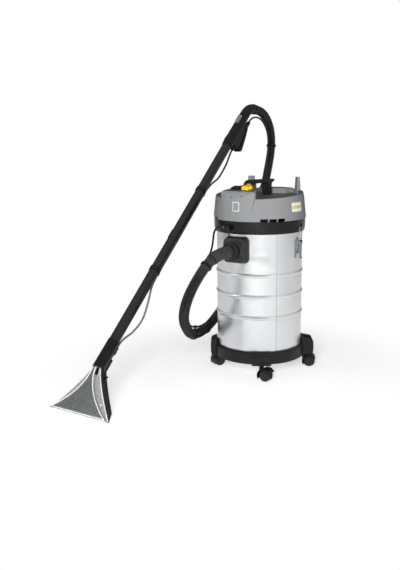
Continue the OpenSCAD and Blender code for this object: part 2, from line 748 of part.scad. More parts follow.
module selector_knob() color("#f2d21b") knob_seat() {
    translate([0, 0, 1]) difference() {
        union() {
            cylinder(h = 4, r = knob_d / 2);
            translate([0, 0, 4]) cylinder(h = 7, r1 = knob_d / 2, r2 = knob_d / 2 - 4);
            translate([0, 0, 6]) slab(9, -knob_d / 2 + 1, knob_d / 2 - 1, 0, 8);
        }
        for (a = [0:60:300]) rotate([0, 0, a + 30]) translate([knob_d / 2 + 5, 0, -1]) cylinder(h = 20, r = 8);
    }
    translate([0, 0, -12]) cylinder(h = 14, r = 5);
}

module rocker_frame() color(charcoal) rocker_seat() {
    difference() {
        union() {
            slab(34, -13.5, 13.5, 3, 8);
            slab(26, -11, 11, -10, 4);
        }
        slab(21, -8.4, 8.4, -8, 12);
        translate([-14, 0, 4]) rotate([0, 90, 0]) cylinder(h = 28, r = 1.5 + run_gap);
    }
}

module power_rocker() color("#1f2022") rocker_seat() {
    translate([-11.5, 0, 4]) rotate([0, 90, 0]) cylinder(h = 23, r = 1.5);
    difference() {
        intersection() {
            translate([-10, 0, 2]) rotate([0, 90, 0]) cylinder(h = 20, r = 7.6);
            slab(20, -7.6, 7.6, -2, 12);
        }
        translate([-11, 0, 16]) rotate([0, 90, 0]) cylinder(h = 22, r = 8);
    }
}

// Height of the nose's sloping top at a given Y
function nose_line(y) = nose_front_z + (y + 152) / 90 * (nose_top_z + seat_gap - nose_front_z);

module carrying_handle() color(charcoal) {
    under = handle_top_z - 13;
    rotate([90, 0, 90]) translate([0, 0, -13]) linear_extrude(height = 26) polygon([
        [-91, nose_line(-91)], [-92, under - 2], [-87, under + 7], [-72, handle_top_z - 0.5],
        [-60, handle_top_z], [84, handle_top_z - 4], [90, handle_top_z - 8], [68, under - 5],
        [66, under - 9], [66, handle_foot_z], [40, handle_foot_z], [40, under - 6], [36, under - 2],
        [-46, under - 0.5], [-50, nose_top_z + seat_gap], [-62, nose_top_z + seat_gap]]);
    translate([0, -60, nose_top_z - 12]) cylinder(h = 20, r = 3);
    translate([0, 53, handle_foot_z - 9]) cylinder(h = 20, r = 3);
}

module motor_housing() color("#3a3b3d") {
    translate([0, 0, motor_z]) difference() {
        union() {
            cylinder(h = 30, r = motor_r);
            cylinder(h = 56, r = motor_r - 14);
            cylinder(h = 5, r = motor_r + 8);
        }
        translate([0, 0, -1]) cylinder(h = 9, r = deck_bore_r);
        translate([0, 0, 5]) cylinder(h = 22, r = motor_r - 4);
        translate([0, 0, 20]) cylinder(h = 32, r = motor_r - 18);
        translate([0, 0, 40]) cylinder(h = 30, r = 4 + run_gap);
        for (a = [0:60:300]) rotate([0, 0, a]) translate([motor_r - 12, -7, 9]) cube([20, 14, 12]);
    }
}

module motor_rotor() color("#a9783c") {
    translate([0, 0, motor_z]) {
        translate([0, 0, 8]) cylinder(h = 50, r = 4);
        translate([0, 0, 30]) cylinder(h = 18, r = 30);
        difference() {
            translate([0, 0, 9]) cylinder(h = 14, r = motor_r - 8);
            for (a = [0:30:330]) rotate([0, 0, a]) translate([14, -3, 11]) cube([40, 6, 10]);
        }
    }
}

module water_pump() color("#55575a") {
    translate([0, 88, deck_z + deck_t + seat_gap]) {
        slab(40, -14, 16, 0, 30);
        translate([-34, 0, 15]) rotate([0, 90, 0]) cylinder(h = 20, r = 11);
        translate([20, 0, 15]) rotate([0, 90, 0]) cylinder(h = 12, r = 5);
    }
}

module filter_cartridge() color("#d9d2c0") {
    translate([0, 0, deck_z - seat_gap - 124]) difference() {
        union() {
            cylinder(h = 118, r = 64);
            cylinder(h = 5, r = 68);
            translate([0, 0, 118]) cylinder(h = 6, r = 70);
        }
        translate([0, 0, 5]) cylinder(h = 125, r = 40);
        for (a = [0:12:348]) rotate([0, 0, a]) translate([57, -2.2, 8]) cube([12, 4.4, 106]);
    }
}

module float_cage() color(charcoal) {
    translate([0, 0, deck_z - seat_gap - 96]) difference() {
        union() {
            cylinder(h = 92, r = 30);
            translate([0, 0, 92]) cylinder(h = 4, r = 38);
        }
        translate([0, 0, 3]) cylinder(h = 100, r = 26.5);
        for (a = [0:60:300]) rotate([0, 0, a]) translate([18, -8, 8]) cube([20, 16, 62]);
    }
}

module float_ball() color("#e9e4d4") {
    translate([0, 0, deck_z - 96 + 3 + 26]) {
        sphere(r = 26);
        translate([0, 0, -26]) cylinder(h = 3, r = 14);
    }
}

// ---- Spray line at the machine ----

module socket_frame() {
    around(socket_phi, socket_r, socket_z) rotate([0, -90, 0]) children();
}

module spray_socket() color("#1c1d1e") {
    difference() {
        socket_frame() {
            translate([0, 0, -16]) cylinder(h = 25, r = 8.5);
            translate([0, 0, -16]) cylinder(h = 5, r = 9.5);
            translate([0, 0, 4]) cylinder(h = 5, r = 10);
            translate([-8, 0, -14]) cube([16, 12, 21]);
        }
        socket_frame() translate([0, 0, -10]) cylinder(h = 30, r = 5 + run_gap);
        translate([0, 0, socket_z - 40]) cylinder(h = 80, r = band_r + 0.1);
    }
}

module spray_plug() color("#3b3d40") socket_frame() {
    difference() {
        union() {
            translate([0, 0, -8]) cylinder(h = 20, r = 5);
            translate([0, 0, 9 + seat_gap]) cylinder(h = 5, r = 8);
            translate([0, 0, 14]) cylinder(h = 6, r1 = 6.5, r2 = 5);
        }
        translate([0, 0, -9]) cylinder(h = 28, r = 2);
    }
}

// ---- Hoses ----

module suction_hose() color("#26272a") {
    hollow_sweep(hose_path, hose_radii, bore_r, 8, [1, 0, 0]);
}

module bend_sleeve() color("#303134") {
    hollow_sweep(sleeve_path, sleeve_radii, hose_r + 0.8, 8, [1, 0, 0]);
}

module spray_hose() color("#151516") {
    solid_sweep(spray_path, spray_r, 8, [0, 0, 1]);
}

module wand_spray_line() color("#151516") {
    solid_sweep(line_path, spray_r, 8, [1, 0, 0]);
}

// Turns +Z onto the direction v
module aim(v) {
    rotate([0, acos(v[2] / norm(v)), atan2(v[1], v[0])]) children();
}

module hose_clips() color("#3a3b3e") {
    for (i = clip_steps) {
        a = hose_route[i];
        b = nearest(a, spray_fine);
        v = hose_route[i + 1] - hose_route[i - 1];
        difference() {
            union() {
                translate(a) aim(v) cylinder(h = 9, r = hose_r + 2.4, center = true);
                translate(b) aim(v) cylinder(h = 9, r = spray_r + 3, center = true);
                translate(a) aim(b - a) cylinder(h = norm(b - a), r = 3);
            }
            translate(a) aim(v) cylinder(h = 30, r = hose_r + seat_gap, center = true);
            translate(b) aim(v) cylinder(h = 30, r = spray_r + 1.2, center = true);
        }
    }
}

function nearest(a, list) = list[search(min([for (p = list) norm(p - a)]), [for (p = list) norm(p - a)])[0]];

// ---- Wand ----

module tube(s0, s1, r) {
    difference() {
        wand_cyl(s0, s1, r, r);
        wand_cyl(s0 - 1, s1 + 1, r - wand_wall, r - wand_wall);
    }
}

module lower_tube() color(charcoal) wand_frame() {
    tube(-lower_len - 20, 0, wand_r);
    difference() {
        wand_cyl(-joint_lap, 0, wand_r + 2, wand_r + 2);
        wand_cyl(-joint_lap - 1, 1, wand_r - 1, wand_r - 1);
    }
}

module upper_tube() color(charcoal) wand_frame() {
    tube(seat_gap, upper_len, wand_r);
    difference() {
        wand_cyl(-joint_lap + 4, 10, wand_r - wand_wall - run_gap, wand_r - wand_wall - run_gap);
        wand_cyl(-joint_lap, 11, wand_r - 2 * wand_wall, wand_r - 2 * wand_wall);
    }
    difference() {
        wand_cyl(seat_gap, 6, wand_r, wand_r);
        wand_cyl(-1, 11, wand_r - 2 * wand_wall, wand_r - 2 * wand_wall);
    }
}

// Clip rings that hold the spray line under the tubes
module tube_clips() color("#2a2b2d") wand_frame() {
    for (s = clip_s) difference() {
        union() {
            wand_cyl(s - 8, s + 8, wand_r + 2.5, wand_r + 2.5);
            translate([0, s - 6, -line_drop]) rotate([-90, 0, 0]) cylinder(h = 12, r = spray_r + 2);
            translate([-4, s - 6, -line_drop]) cube([8, 12, 8]);
        }
        wand_cyl(s - 9, s + 9, wand_r + run_gap, wand_r + run_gap);
        translate([0, s - 9, -line_drop]) rotate([-90, 0, 0]) cylinder(h = 18, r = spray_r + 0.6);
        translate([-2.5, s - 9, -line_drop - 8]) cube([5, 18, 7]);
    }
}

module hand_grip() color(charcoal) wand_frame() {
    difference() {
        union() {
            wand_cyl(grip_from - 30, grip_from - 2, grip_r - 2, grip_r);
            wand_cyl(grip_from - 2, grip_from + 6, grip_r, grip_r);
            wand_cyl(grip_from + 6, grip_from + grip_len + 0.4, grip_r - 1.5, grip_r - 2.8);
            grip_bend(grip_r - 3, 0);
        }
        wand_cyl(grip_from - 40, grip_from + seat_gap, wand_r + run_gap, wand_r + run_gap);
        wand_cyl(grip_from - 1, grip_from + grip_len + 1.5, bore_r, bore_r);
        grip_bend(bore_r - 0.3, 1);
        translate([-slide_w / 2 - 0.5, slide_s - 2, grip_r - 10]) cube([slide_w + 1, slide_len + slide_travel + 4, 14]);
    }
}

// Arc of pipe that turns the grip from the wand's axis towards the hose
module grip_bend(r, more) {
    turn = wand_tilt - grip_end_tilt + more;
    translate([0, grip_from + grip_len, -grip_bend_r]) rotate([0, 90, 0]) rotate([0, 0, 180 - turn])
        rotate_extrude(angle = turn) translate([grip_bend_r, 0]) circle(r = r);
}

module air_slide() color("#8e9092") wand_frame() {
    difference() {
        union() {
            translate([-slide_w / 2, slide_s, grip_r - 9.7]) cube([slide_w, slide_len, 8]);
            translate([-slide_w / 2, slide_s, grip_r - 3]) cube([slide_w, slide_len, 4.5]);
        }
        for (s = [0:5]) translate([-20, slide_s + 4 + s * 6, grip_r]) cube([40, 2.6, 3]);
    }
}

// Side outline in the wand's plane, given along and under the wand's axis
module side_plate(width, points) {
    rotate([90, 0, 90]) translate([0, 0, -width / 2]) linear_extrude(height = width)
        polygon([for (p = points) [grip_from + p[0], -p[1]]]);
}

module valve_body() color(charcoal) wand_frame() {
    difference() {
        union() {
            side_plate(22, [[4, 10], [4, 47], [10, 52], [20, 53], [78, 44], [104, 39.5], [126, 39], [126, 26], [134, 10]]);
            translate([0, grip_from + 4, -38]) rotate([90, 0, 0]) cylinder(h = 14, r1 = 8, r2 = 6.5);
            translate([0, grip_from + 124, -inlet_n + 9]) rotate([-90, 0, 0]) cylinder(h = 8, r = 8);
            translate([0, grip_from + 109, -inlet_n]) rotate([-90, 0, 0]) cylinder(h = 33, r = 5.5);
            translate([0, grip_from + 132, -inlet_n]) rotate([-90, 0, 0]) cylinder(h = 9, r = 7.5);
            translate([0, grip_from + 146, -inlet_n]) rotate([-90, 0, 0]) cylinder(h = 8, r = 7.5);
            translate([0, grip_from + 140, -inlet_n]) rotate([-90, 0, 0]) cylinder(h = 18, r = 5);
        }
        wand_cyl(grip_from - 40, grip_from + grip_len + 1, grip_r + seat_gap, grip_r - 1.5 + seat_gap);
        grip_bend(grip_r - 3 + seat_gap, 0);
        translate([0, stem_s, -60]) cylinder(h = 34, r = stem_pin_r + run_gap);
        translate([0, pivot_s, -pivot_n]) rotate([0, 90, 0]) cylinder(h = 60, r = 2, center = true);
    }
}

// Plunger that the trigger pushes into the valve
module valve_stem() color("#c7b27a") wand_frame() {
    translate([0, stem_s, -stem_reach]) cylinder(h = 22, r = stem_pin_r);
}

module spray_trigger() color("#1d1e20") wand_frame() {
    difference() {
        side_plate(27, [[124, 28], [126, 35], [122, 40], [108, 46.5], [88, 55], [64, 63], [30, 74],
            [18, 74], [12, 69], [14, 64], [40, 58], [80, 48], [104, 38], [112, 28]]);
        side_plate(23.2, [[140, 0], [140, 60], [106, 60], [104, 44.5], [86, 52], [62, 60], [28, 70],
            [20, 70], [10, 66], [-20, 60], [-20, 0]]);
        translate([0, pivot_s, -pivot_n]) rotate([0, 90, 0]) cylinder(h = 60, r = 2 + run_gap, center = true);
    }
}

module trigger_pin() color("#b9bcc0") wand_frame() {
    translate([-14, pivot_s, -pivot_n]) rotate([0, 90, 0]) cylinder(h = 28, r = 2);
}

module grip_end_frame() {
    translate([wand_x, hose_route[len(hose_route) - 1][1], hose_route[len(hose_route) - 1][2]]) rotate([grip_end_tilt, 0, 0]) children();
}

module grip_cuff() color("#232426") grip_end_frame() {
    rotate([-90, 0, 0]) difference() {
        translate([0, 0, seat_gap]) cylinder(h = 20, r1 = hose_r + 3, r2 = hose_r + 1.8);
        translate([0, 0, -1]) cylinder(h = 30, r = hose_r + 0.2);
    }
}

// ---- Nozzle ----

// Half width of an outline at distance u up the face
function face_half(u, foot, top, power) = top + (foot - top) * pow(max(1 - u / face_len, 0), power);

function face_outline(foot, top, power, u0, u1, steps) = concat(
    [for (i = [0:steps]) let(u = u0 + (u1 - u0) * i / steps) [face_half(u, foot, top, power), u]],
    [for (i = [steps:-1:0]) let(u = u0 + (u1 - u0) * i / steps) [-face_half(u, foot, top, power), u]]);

// Half space above a plane that rises backwards from the lip
module above_lip(rise) {
    translate([wand_x, lip_y, 0]) rotate([rise, 0, 0]) translate([-300, -200, 0]) cube([600, 700, 500]);
}

// Room that the neck sleeve takes
module sleeve_room(core) {
    wand_frame() difference() {
        wand_cyl(neck_from - seat_gap, neck_from + 90, wand_r + 8, wand_r + 8);
        if (core) wand_cyl(neck_from - 1, neck_from + 100, wand_r - run_gap, wand_r - run_gap);
    }
}

module nozzle_cover() color("#a6a8a9") {
    difference() {
        intersection() {
            nozzle_frame() {
                linear_extrude(height = cover_t)
                    polygon(face_outline(lip_w / 2, 18, 1.25, 0, face_len, 14));
                linear_extrude(height = channel_h)
                    polygon(face_outline(lip_w / 2 - 6, 7, 2.1, 0, face_len, 14));
            }
            above_lip(0);
        }
        nozzle_frame() translate([0, 0, -1]) linear_extrude(height = channel_h - cover_t + 1)
            polygon(face_outline(lip_w / 2 - 8.5, 4.5, 2.1, -20, face_len - 2, 14));
        nozzle_frame() for (x = [-1, 1]) translate([x * screw_x, screw_u, -1]) cylinder(h = 20, r = 2.1);
        sleeve_room(false);
        wand_frame() wand_cyl(neck_from - 26, neck_from + 60, neck_bore_r, neck_bore_r);
    }
}

module nozzle_back() color("#1e1f21") {
    difference() {
        intersection() {
            nozzle_frame() translate([0, 0, -back_depth - 0.2]) linear_extrude(height = back_depth)
                polygon(face_outline(lip_w / 2, 18, 1.15, 0, face_len, 14));
            above_lip(bottom_rise);
        }
        nozzle_frame() translate([0, 0, -9]) linear_extrude(height = 20)
            polygon(face_outline(lip_w / 2 - 8.5, 4.5, 2.1, -30, face_len - 2, 14));
        nozzle_frame() for (x = [-1, 1]) translate([x * screw_x, screw_u, -12]) cylinder(h = 20, r = 1.8);
        nozzle_frame() translate([-60, 20, -back_depth - 5]) cube([120, 58, 17]);
        sleeve_room(true);
        wand_frame() wand_cyl(neck_from - 26, neck_from + 60, neck_bore_r, neck_bore_r);
    }
    wand_frame() difference() {
        wand_cyl(neck_from - seat_gap, neck_from + 40, wand_r - run_gap, wand_r - run_gap);
        wand_cyl(neck_from - 30, neck_from + 60, neck_bore_r, neck_bore_r);
    }
}

module neck_sleeve() color(charcoal) wand_frame() {
    difference() {
        union() {
            wand_cyl(neck_from, -lower_len, wand_r + 2.7, wand_r + 1.8);
            translate([-8, neck_from + 10, -line_entry - 5]) cube([16, 44, 20]);
        }
        wand_cyl(neck_from - 10, neck_from + 42, wand_r, wand_r);
        wand_cyl(neck_from - 10, -lower_len - 20, bore_r, bore_r);
        wand_cyl(-lower_len - 20 - seat_gap, 0, wand_r + run_gap, wand_r + run_gap);
    }
}

module nozzle_screws() color("#9a9c9e") nozzle_frame() {
    for (x = [-1, 1]) translate([x * screw_x, screw_u, 0]) {
        translate([0, 0, -11]) cylinder(h = 14, r = 1.8);
        translate([0, 0, cover_t]) cylinder(h = 2, r = 3.6);
    }
}

module spray_jet() color("#c7b27a") nozzle_frame() {
    translate([0, 46, -back_depth + 11.5]) rotate([180, 0, 0]) difference() {
        union() {
            cylinder(h = 8, r = 6);
            translate([0, 0, 8]) cylinder(h = 4, r1 = 5, r2 = 3);
        }
        translate([0, 0, 4]) cylinder(h = 12, r = 1);
    }
}

module line_coupling() color("#1a1b1c") wand_frame() {
    translate([0, neck_from + 54 + seat_gap, -line_entry]) rotate([-90, 0, 0]) {
        cylinder(h = 26, r = 3.2);
        translate([0, 0, 20]) cylinder(h = 27.2, r = 6);
        translate([0, 0, 26]) cylinder(h = 6, r = 7);
    }
}

trolley_ring();
tank();
inlet_flange();
inlet_deflector();
caster_fork(0);  // caster_fork_1
caster_fork(1);  // caster_fork_2
caster_fork(2);  // caster_fork_3
caster_fork(3);  // caster_fork_4
caster_axle(0);  // caster_axle_1
caster_axle(1);  // caster_axle_2
caster_axle(2);  // caster_axle_3
caster_axle(3);  // caster_axle_4
caster_wheels(0);  // caster_wheels_1
caster_wheels(1);  // caster_wheels_2
caster_wheels(2);  // caster_wheels_3
caster_wheels(3);  // caster_wheels_4
latch_side(1) latch_base();  // latch_base_left
latch_side(0) latch_base();  // latch_base_right
latch_side(1) latch_lever();  // latch_lever_left
latch_side(0) latch_lever();  // latch_lever_right
latch_side(1) latch_bail();  // latch_bail_left
latch_side(0) latch_bail();  // latch_bail_right
head_band();
head_seal();
head_cover();
motor_housing();
motor_rotor();
water_pump();
filter_cartridge();
float_cage();
float_ball();
selector_knob();
power_rocker();
rocker_frame();
carrying_handle();
spray_socket();
spray_plug();
fresh_tank();
inlet_cuff();
bend_sleeve();
suction_hose();
spray_hose();
hose_clips();
lower_tube();
upper_tube();
tube_clips();
hand_grip();
air_slide();
valve_body();
valve_stem();
spray_trigger();
trigger_pin();
grip_cuff();
wand_spray_line();
neck_sleeve();
nozzle_back();
nozzle_cover();
nozzle_screws();
spray_jet();
line_coupling();
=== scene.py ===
import math

import bpy
import numpy as np
from mathutils import Matrix, Vector


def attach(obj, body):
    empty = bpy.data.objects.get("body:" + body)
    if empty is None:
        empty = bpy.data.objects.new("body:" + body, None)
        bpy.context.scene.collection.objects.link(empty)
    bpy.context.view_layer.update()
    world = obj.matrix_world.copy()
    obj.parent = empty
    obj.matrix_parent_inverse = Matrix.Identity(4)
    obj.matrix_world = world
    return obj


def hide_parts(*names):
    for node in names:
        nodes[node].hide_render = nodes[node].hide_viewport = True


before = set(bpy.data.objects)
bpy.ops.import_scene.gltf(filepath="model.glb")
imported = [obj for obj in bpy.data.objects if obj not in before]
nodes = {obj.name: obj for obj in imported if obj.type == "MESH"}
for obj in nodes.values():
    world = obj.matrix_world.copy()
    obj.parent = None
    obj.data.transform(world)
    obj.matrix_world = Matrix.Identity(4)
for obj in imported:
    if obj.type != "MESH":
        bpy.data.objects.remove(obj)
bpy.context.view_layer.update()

# Camera: it stands 2.7 m from the machine, to the right of its front and level with the
# wand's grip. It looks twelve degrees down through a normal lens. Angles are in radians.
cam_place = (1.3243, -2.3146, 0.8754)
pitch, roll = 0.2081, 0.012
level = Vector((-0.5664, 0.8241, 0.0)).normalized()
plumb = Vector((0, 0, 1))
side = Vector((level.y, -level.x, 0.0))
ahead = level * math.cos(pitch) - plumb * math.sin(pitch)
above = level * math.sin(pitch) + plumb * math.cos(pitch)
cam_right = side * math.cos(roll) - above * math.sin(roll)
cam_up = above * math.cos(roll) + side * math.sin(roll)
cam_data = bpy.data.cameras.new("camera")
cam_data.sensor_fit = "AUTO"
cam_data.sensor_width = 36.0
cam_data.lens = 46.26
cam_data.clip_end = 60.0
camera = bpy.data.objects.new("camera", cam_data)
bpy.context.scene.collection.objects.link(camera)
camera.matrix_world = Matrix((
    (cam_right.x, cam_up.x, -ahead.x, cam_place[0]),
    (cam_right.y, cam_up.y, -ahead.y, cam_place[1]),
    (cam_right.z, cam_up.z, -ahead.z, cam_place[2]),
    (0, 0, 0, 1)))
bpy.context.scene.camera = camera
bpy.context.scene.view_settings.view_transform = "Standard"


# Studio room: white walls, which the lens and clear plastic see at full white. Polished
# surfaces see them at seven tenths of that in front, falling off to a seventh behind the
# machine, and the walls light it with a neutral fill of a tenth.
def linear(code):
    """An sRGB hex colour as linear red, green, blue and alpha 1: a channel c is
    c / 12.92 up to 0.04045, and ((c + 0.055) / 1.055) to the power 2.4 above it."""
    c = np.array([int(code[i:i + 2], 16) for i in (1, 3, 5)]) / 255
    return (*np.where(c <= 0.04045, c / 12.92, ((c + 0.055) / 1.055) ** 2.4).tolist(), 1.0)


def add(tree, kind, values=(), links=(), **options):
    """Adds one node. The options are its own settings, the values go to its input
    sockets, and the links join outputs of earlier nodes to them."""
    made = tree.nodes.new(kind)
    for key, value in options.items():
        setattr(made, key, value)
    for key, value in dict(values).items():
        made.inputs[key].default_value = value
    for key, source in dict(links).items():
        tree.links.new(source, made.inputs[key])
    return made


def seen_rays(tree):
    """The Light Path node, and a socket that is 1 for each ray that is seen: from the
    lens, off a polished surface or through clear plastic."""
    path = add(tree, "ShaderNodeLightPath")
    seen = add(tree, "ShaderNodeMath", {}, {
        0: path.outputs["Is Camera Ray"], 1: path.outputs["Is Glossy Ray"]}, operation="MAXIMUM")
    any_view = add(tree, "ShaderNodeMath", {}, {
        0: seen.outputs[0], 1: path.outputs["Is Transmission Ray"]}, operation="MAXIMUM")
    return path, any_view.outputs[0]


world = bpy.data.worlds.new("studio_room")
bpy.context.scene.world = world
world.use_nodes = True
t = world.node_tree
t.nodes.clear()
path, any_view = seen_rays(t)
way = add(t, "ShaderNodeTexCoord")
rear = add(t, "ShaderNodeVectorMath", {1: tuple(level)}, {0: way.outputs["Generated"]},
           operation="DOT_PRODUCT")
fall = add(t, "ShaderNodeMapRange", {"From Min": 0.1, "From Max": 0.95, "To Min": 0.3, "To Max": 0.86},
           {"Value": rear.outputs["Value"]}, interpolation_type="SMOOTHSTEP")
dim = add(t, "ShaderNodeMath", {}, {0: fall.outputs["Result"], 1: path.outputs["Is Glossy Ray"]},
          operation="MULTIPLY")
tone = add(t, "ShaderNodeMix", {"A": linear("#ffffff"), "B": linear("#000000")},
           {"Factor": dim.outputs[0]}, data_type="RGBA")
walls = add(t, "ShaderNodeBackground", {"Strength": 1.0}, {"Color": tone.outputs["Result"]})
fill = add(t, "ShaderNodeBackground", {"Color": linear("#fcfeff"), "Strength": 0.1})
room = add(t, "ShaderNodeMixShader", {}, {0: any_view, 1: fill.outputs[0], 2: walls.outputs[0]})
add(t, "ShaderNodeOutputWorld", {}, {"Surface": room.outputs[0]})

# Lamps, in metres and watts: a key in front, kept out of reflections so that the drum
# shows soft bands only, a wide softbox overhead, and two tall strips at the sides. Only
# reflections see the strips, so that they draw the edges without lighting the sides.
for lamp_name, lamp_place, aim_at, size, power, mirrored, lights in (
        ("key", (1.5, -3.1, 1.35), (0.0, 0.0, 0.5), (1.3, 1.3), 135.0, False, True),
        ("softbox_over", (0.3, -0.5, 3.0), (0.0, 0.0, 0.2), (3.2, 3.2), 7.0, True, True),
        ("strip_left", (-2.0, -2.75, 1.4), (0.0, 0.0, 0.4), (0.3, 2.2), 12.0, True, False),
        ("strip_right", (2.75, -1.1, 1.5), (0.0, 0.0, 0.4), (0.3, 2.2), 7.0, True, False)):
    lamp_data = bpy.data.lights.new(lamp_name, "AREA")
    lamp_data.shape = "RECTANGLE"
    lamp_data.size, lamp_data.size_y = size
    lamp_data.energy = power
    lamp = bpy.data.objects.new(lamp_name, lamp_data)
    bpy.context.scene.collection.objects.link(lamp)
    lamp.location = lamp_place
    lamp.rotation_euler = (Vector(aim_at) - Vector(lamp_place)).to_track_quat("-Z", "Y").to_euler()
    lamp.visible_glossy = mirrored
    lamp.visible_diffuse = lights

# Grey cards beyond the lamps, made of painted board on stands. Only reflections see
# them: they put the soft darker bands in the steel. Each has its angle from the front
# towards the right, in degrees, and its width and distance in metres.
card_paint = bpy.data.materials.new("painted_board")
card_paint.use_nodes = True
shader = card_paint.node_tree.nodes["Principled BSDF"]
shader.inputs["Base Color"].default_value = linear("#9a9c9f")
shader.inputs["Roughness"].default_value = 0.9
card_foot, card_top = 0.02, 3.2
for card_name, compass, wide, distance in (("card_a", 75.0, 0.3, 3.6), ("card_b", -24.0, 0.36, 3.6),
                                           ("card_c", 3.0, 0.10, 3.9), ("card_d", 28.0, 1.7, 3.6)):
    turn = math.radians(compass)
    centre = np.array([math.sin(turn), -math.cos(turn)]) * distance
    along = np.array([math.cos(turn), math.sin(turn)]) * wide / 2
    corners = [(*(centre + end * along).tolist(), height) for end, height in (
        (-1, card_foot), (1, card_foot), (1, card_top), (-1, card_top))]
    card_mesh = bpy.data.meshes.new(card_name)
    card_mesh.from_pydata(corners, [], [(0, 1, 2, 3)])
    card_mesh.materials.append(card_paint)
    card = bpy.data.objects.new(card_name, card_mesh)
    bpy.context.scene.collection.objects.link(card)
    card.visible_camera = False
    card.visible_diffuse = False
    card.visible_shadow = False
    card.visible_transmission = False

# Floor: a matt white sweep of paper. Near the machine it takes the shadows; from 0.3 m
# to 0.85 m off it turns plain white, as if under its own lights, on to the horizon.
floor_half = 14
floor_mesh = bpy.data.meshes.new("floor")
floor_mesh.from_pydata([(floor_half * x, floor_half * y, 0) for x, y in (
    (-1, -1), (1, -1), (1, 1), (-1, 1))], [], [(0, 1, 2, 3)])
floor = bpy.data.objects.new("floor", floor_mesh)
bpy.context.scene.collection.objects.link(floor)
floor_paint = bpy.data.materials.new("matt_white_paper")
floor_paint.use_nodes = True
t = floor_paint.node_tree
t.nodes.clear()
path, any_view = seen_rays(t)
# Every ray that is seen adds a glow of 0.46 to the lit paper, so that its open parts
# come out white while the shadows stay.
gain = add(t, "ShaderNodeMath", {1: 0.46}, {0: any_view}, operation="MULTIPLY")
white = add(t, "ShaderNodeBsdfDiffuse", {"Color": linear("#f7f7f7")})
glow = add(t, "ShaderNodeEmission", {}, {"Strength": gain.outputs[0]})
lit = add(t, "ShaderNodeAddShader", {}, {0: white.outputs[0], 1: glow.outputs[0]})
ground = add(t, "ShaderNodeNewGeometry")
shadow_middle = (0.0, -0.1, 0.0)
reach = add(t, "ShaderNodeVectorMath", {1: shadow_middle}, {0: ground.outputs["Position"]},
            operation="DISTANCE")
beyond = add(t, "ShaderNodeMapRange", {"From Min": 0.3, "From Max": 0.85},
             {"Value": reach.outputs["Value"]}, interpolation_type="SMOOTHSTEP")
fade = add(t, "ShaderNodeMath", {}, {0: beyond.outputs["Result"], 1: path.outputs["Is Camera Ray"]},
           operation="MULTIPLY")
plain = add(t, "ShaderNodeEmission")
paper = add(t, "ShaderNodeMixShader", {}, {0: fade.outputs[0], 1: lit.outputs[0], 2: plain.outputs[0]})
add(t, "ShaderNodeOutputMaterial", {}, {"Surface": paper.outputs[0]})
floor_mesh.materials.append(floor_paint)


# Suction hose: blown polyethylene with round corrugations, 36 mm outside, from the
# turning cuff at the inlet to the wand's grip. Near the cuff the crests of the ribs
# carry a painted highlight in pale grey.
def route_line(points, spans, fine_steps=24):
    """Catmull-Rom curve through points: each span is the cubic
    0.5 (2b + (c-a) t + (2a-5b+4c-d) t^2 + (3b-a-3c+d) t^3) of its four nearest
    points. It is drawn in fine steps and resampled to spans of equal length. Returns
    the points and the length."""
    p = np.asarray(points, float)
    pad = np.vstack([p[:1], p, p[-1:]])
    t = np.linspace(0, 1, fine_steps, endpoint=False)[:, None]
    a, b, c, d = pad[:-3, None], pad[1:-2, None], pad[2:-1, None], pad[3:, None]
    fine = 0.5 * (2 * b + (c - a) * t + (2 * a - 5 * b + 4 * c - d) * t ** 2
                  + (3 * b - a - 3 * c + d) * t ** 3)
    fine = np.vstack([fine.reshape(-1, 3), p[-1:]])
    along = np.concatenate([[0], np.cumsum(np.linalg.norm(np.diff(fine, axis=0), axis=1))])
    want = np.linspace(0, along[-1], spans + 1)
    return np.stack([np.interp(want, along, fine[:, k]) for k in range(3)], 1), along[-1]


def carried_frame(line, first):
    """Two directions square to a line at each of its points: a normal that is carried
    along without twist, as the running projection of the last one off each tangent,
    and the cross product of tangent and normal."""
    tangent = np.gradient(line, axis=0)
    tangent /= np.linalg.norm(tangent, axis=1)[:, None]
    normal = np.empty_like(line)
    n = np.asarray(first, float)
    for i, step in enumerate(tangent):
        n = n - step * (n @ step)
        n = n / np.linalg.norm(n)
        normal[i] = n
    return normal, np.cross(tangent, normal)


def lay_skin(name, grid, smooth=True):
    """Closed mesh of a grid of rings: ring i, side k is grid[i, k]. Neighbours are
    joined in quads and each end closes in a fan on its centre. All faces turn round
    if the volume, the sum of a . (b x c) / 6 over the triangles, is below zero."""
    rings, sides = grid.shape[:2]
    i, k = np.meshgrid(np.arange(rings - 1), np.arange(sides), indexing="ij")
    a, b = i * sides + k, i * sides + (k + 1) % sides
    quads = np.stack([a, b, b + sides, a + sides], -1).reshape(-1, 4)
    j = np.arange(sides)
    start, end, last = rings * sides, rings * sides + 1, (rings - 1) * sides
    fans = np.vstack([
        np.stack([np.full(sides, start), (j + 1) % sides, j], 1),
        np.stack([np.full(sides, end), last + j, last + (j + 1) % sides], 1)])
    points = np.vstack([grid.reshape(-1, 3), grid[0].mean(0), grid[-1].mean(0)])
    halves = np.vstack([quads[:, :3], quads[:, [0, 2, 3]], fans])
    p, q, r = (points[halves[:, n]] - points[0] for n in range(3))
    if np.einsum("ij,ij->", p, np.cross(q, r)) < 0:
        quads, fans = quads[:, ::-1], fans[:, ::-1]
    mesh = bpy.data.meshes.new(name)
    mesh.from_pydata(points.tolist(), [], quads.tolist() + fans.tolist())
    rounded = np.zeros(len(mesh.polygons), bool)
    rounded[:len(quads)] = smooth
    mesh.polygons.foreach_set("use_smooth", rounded)
    mesh.update()
    piece = bpy.data.objects.new(name, mesh)
    bpy.context.scene.collection.objects.link(piece)
    return piece


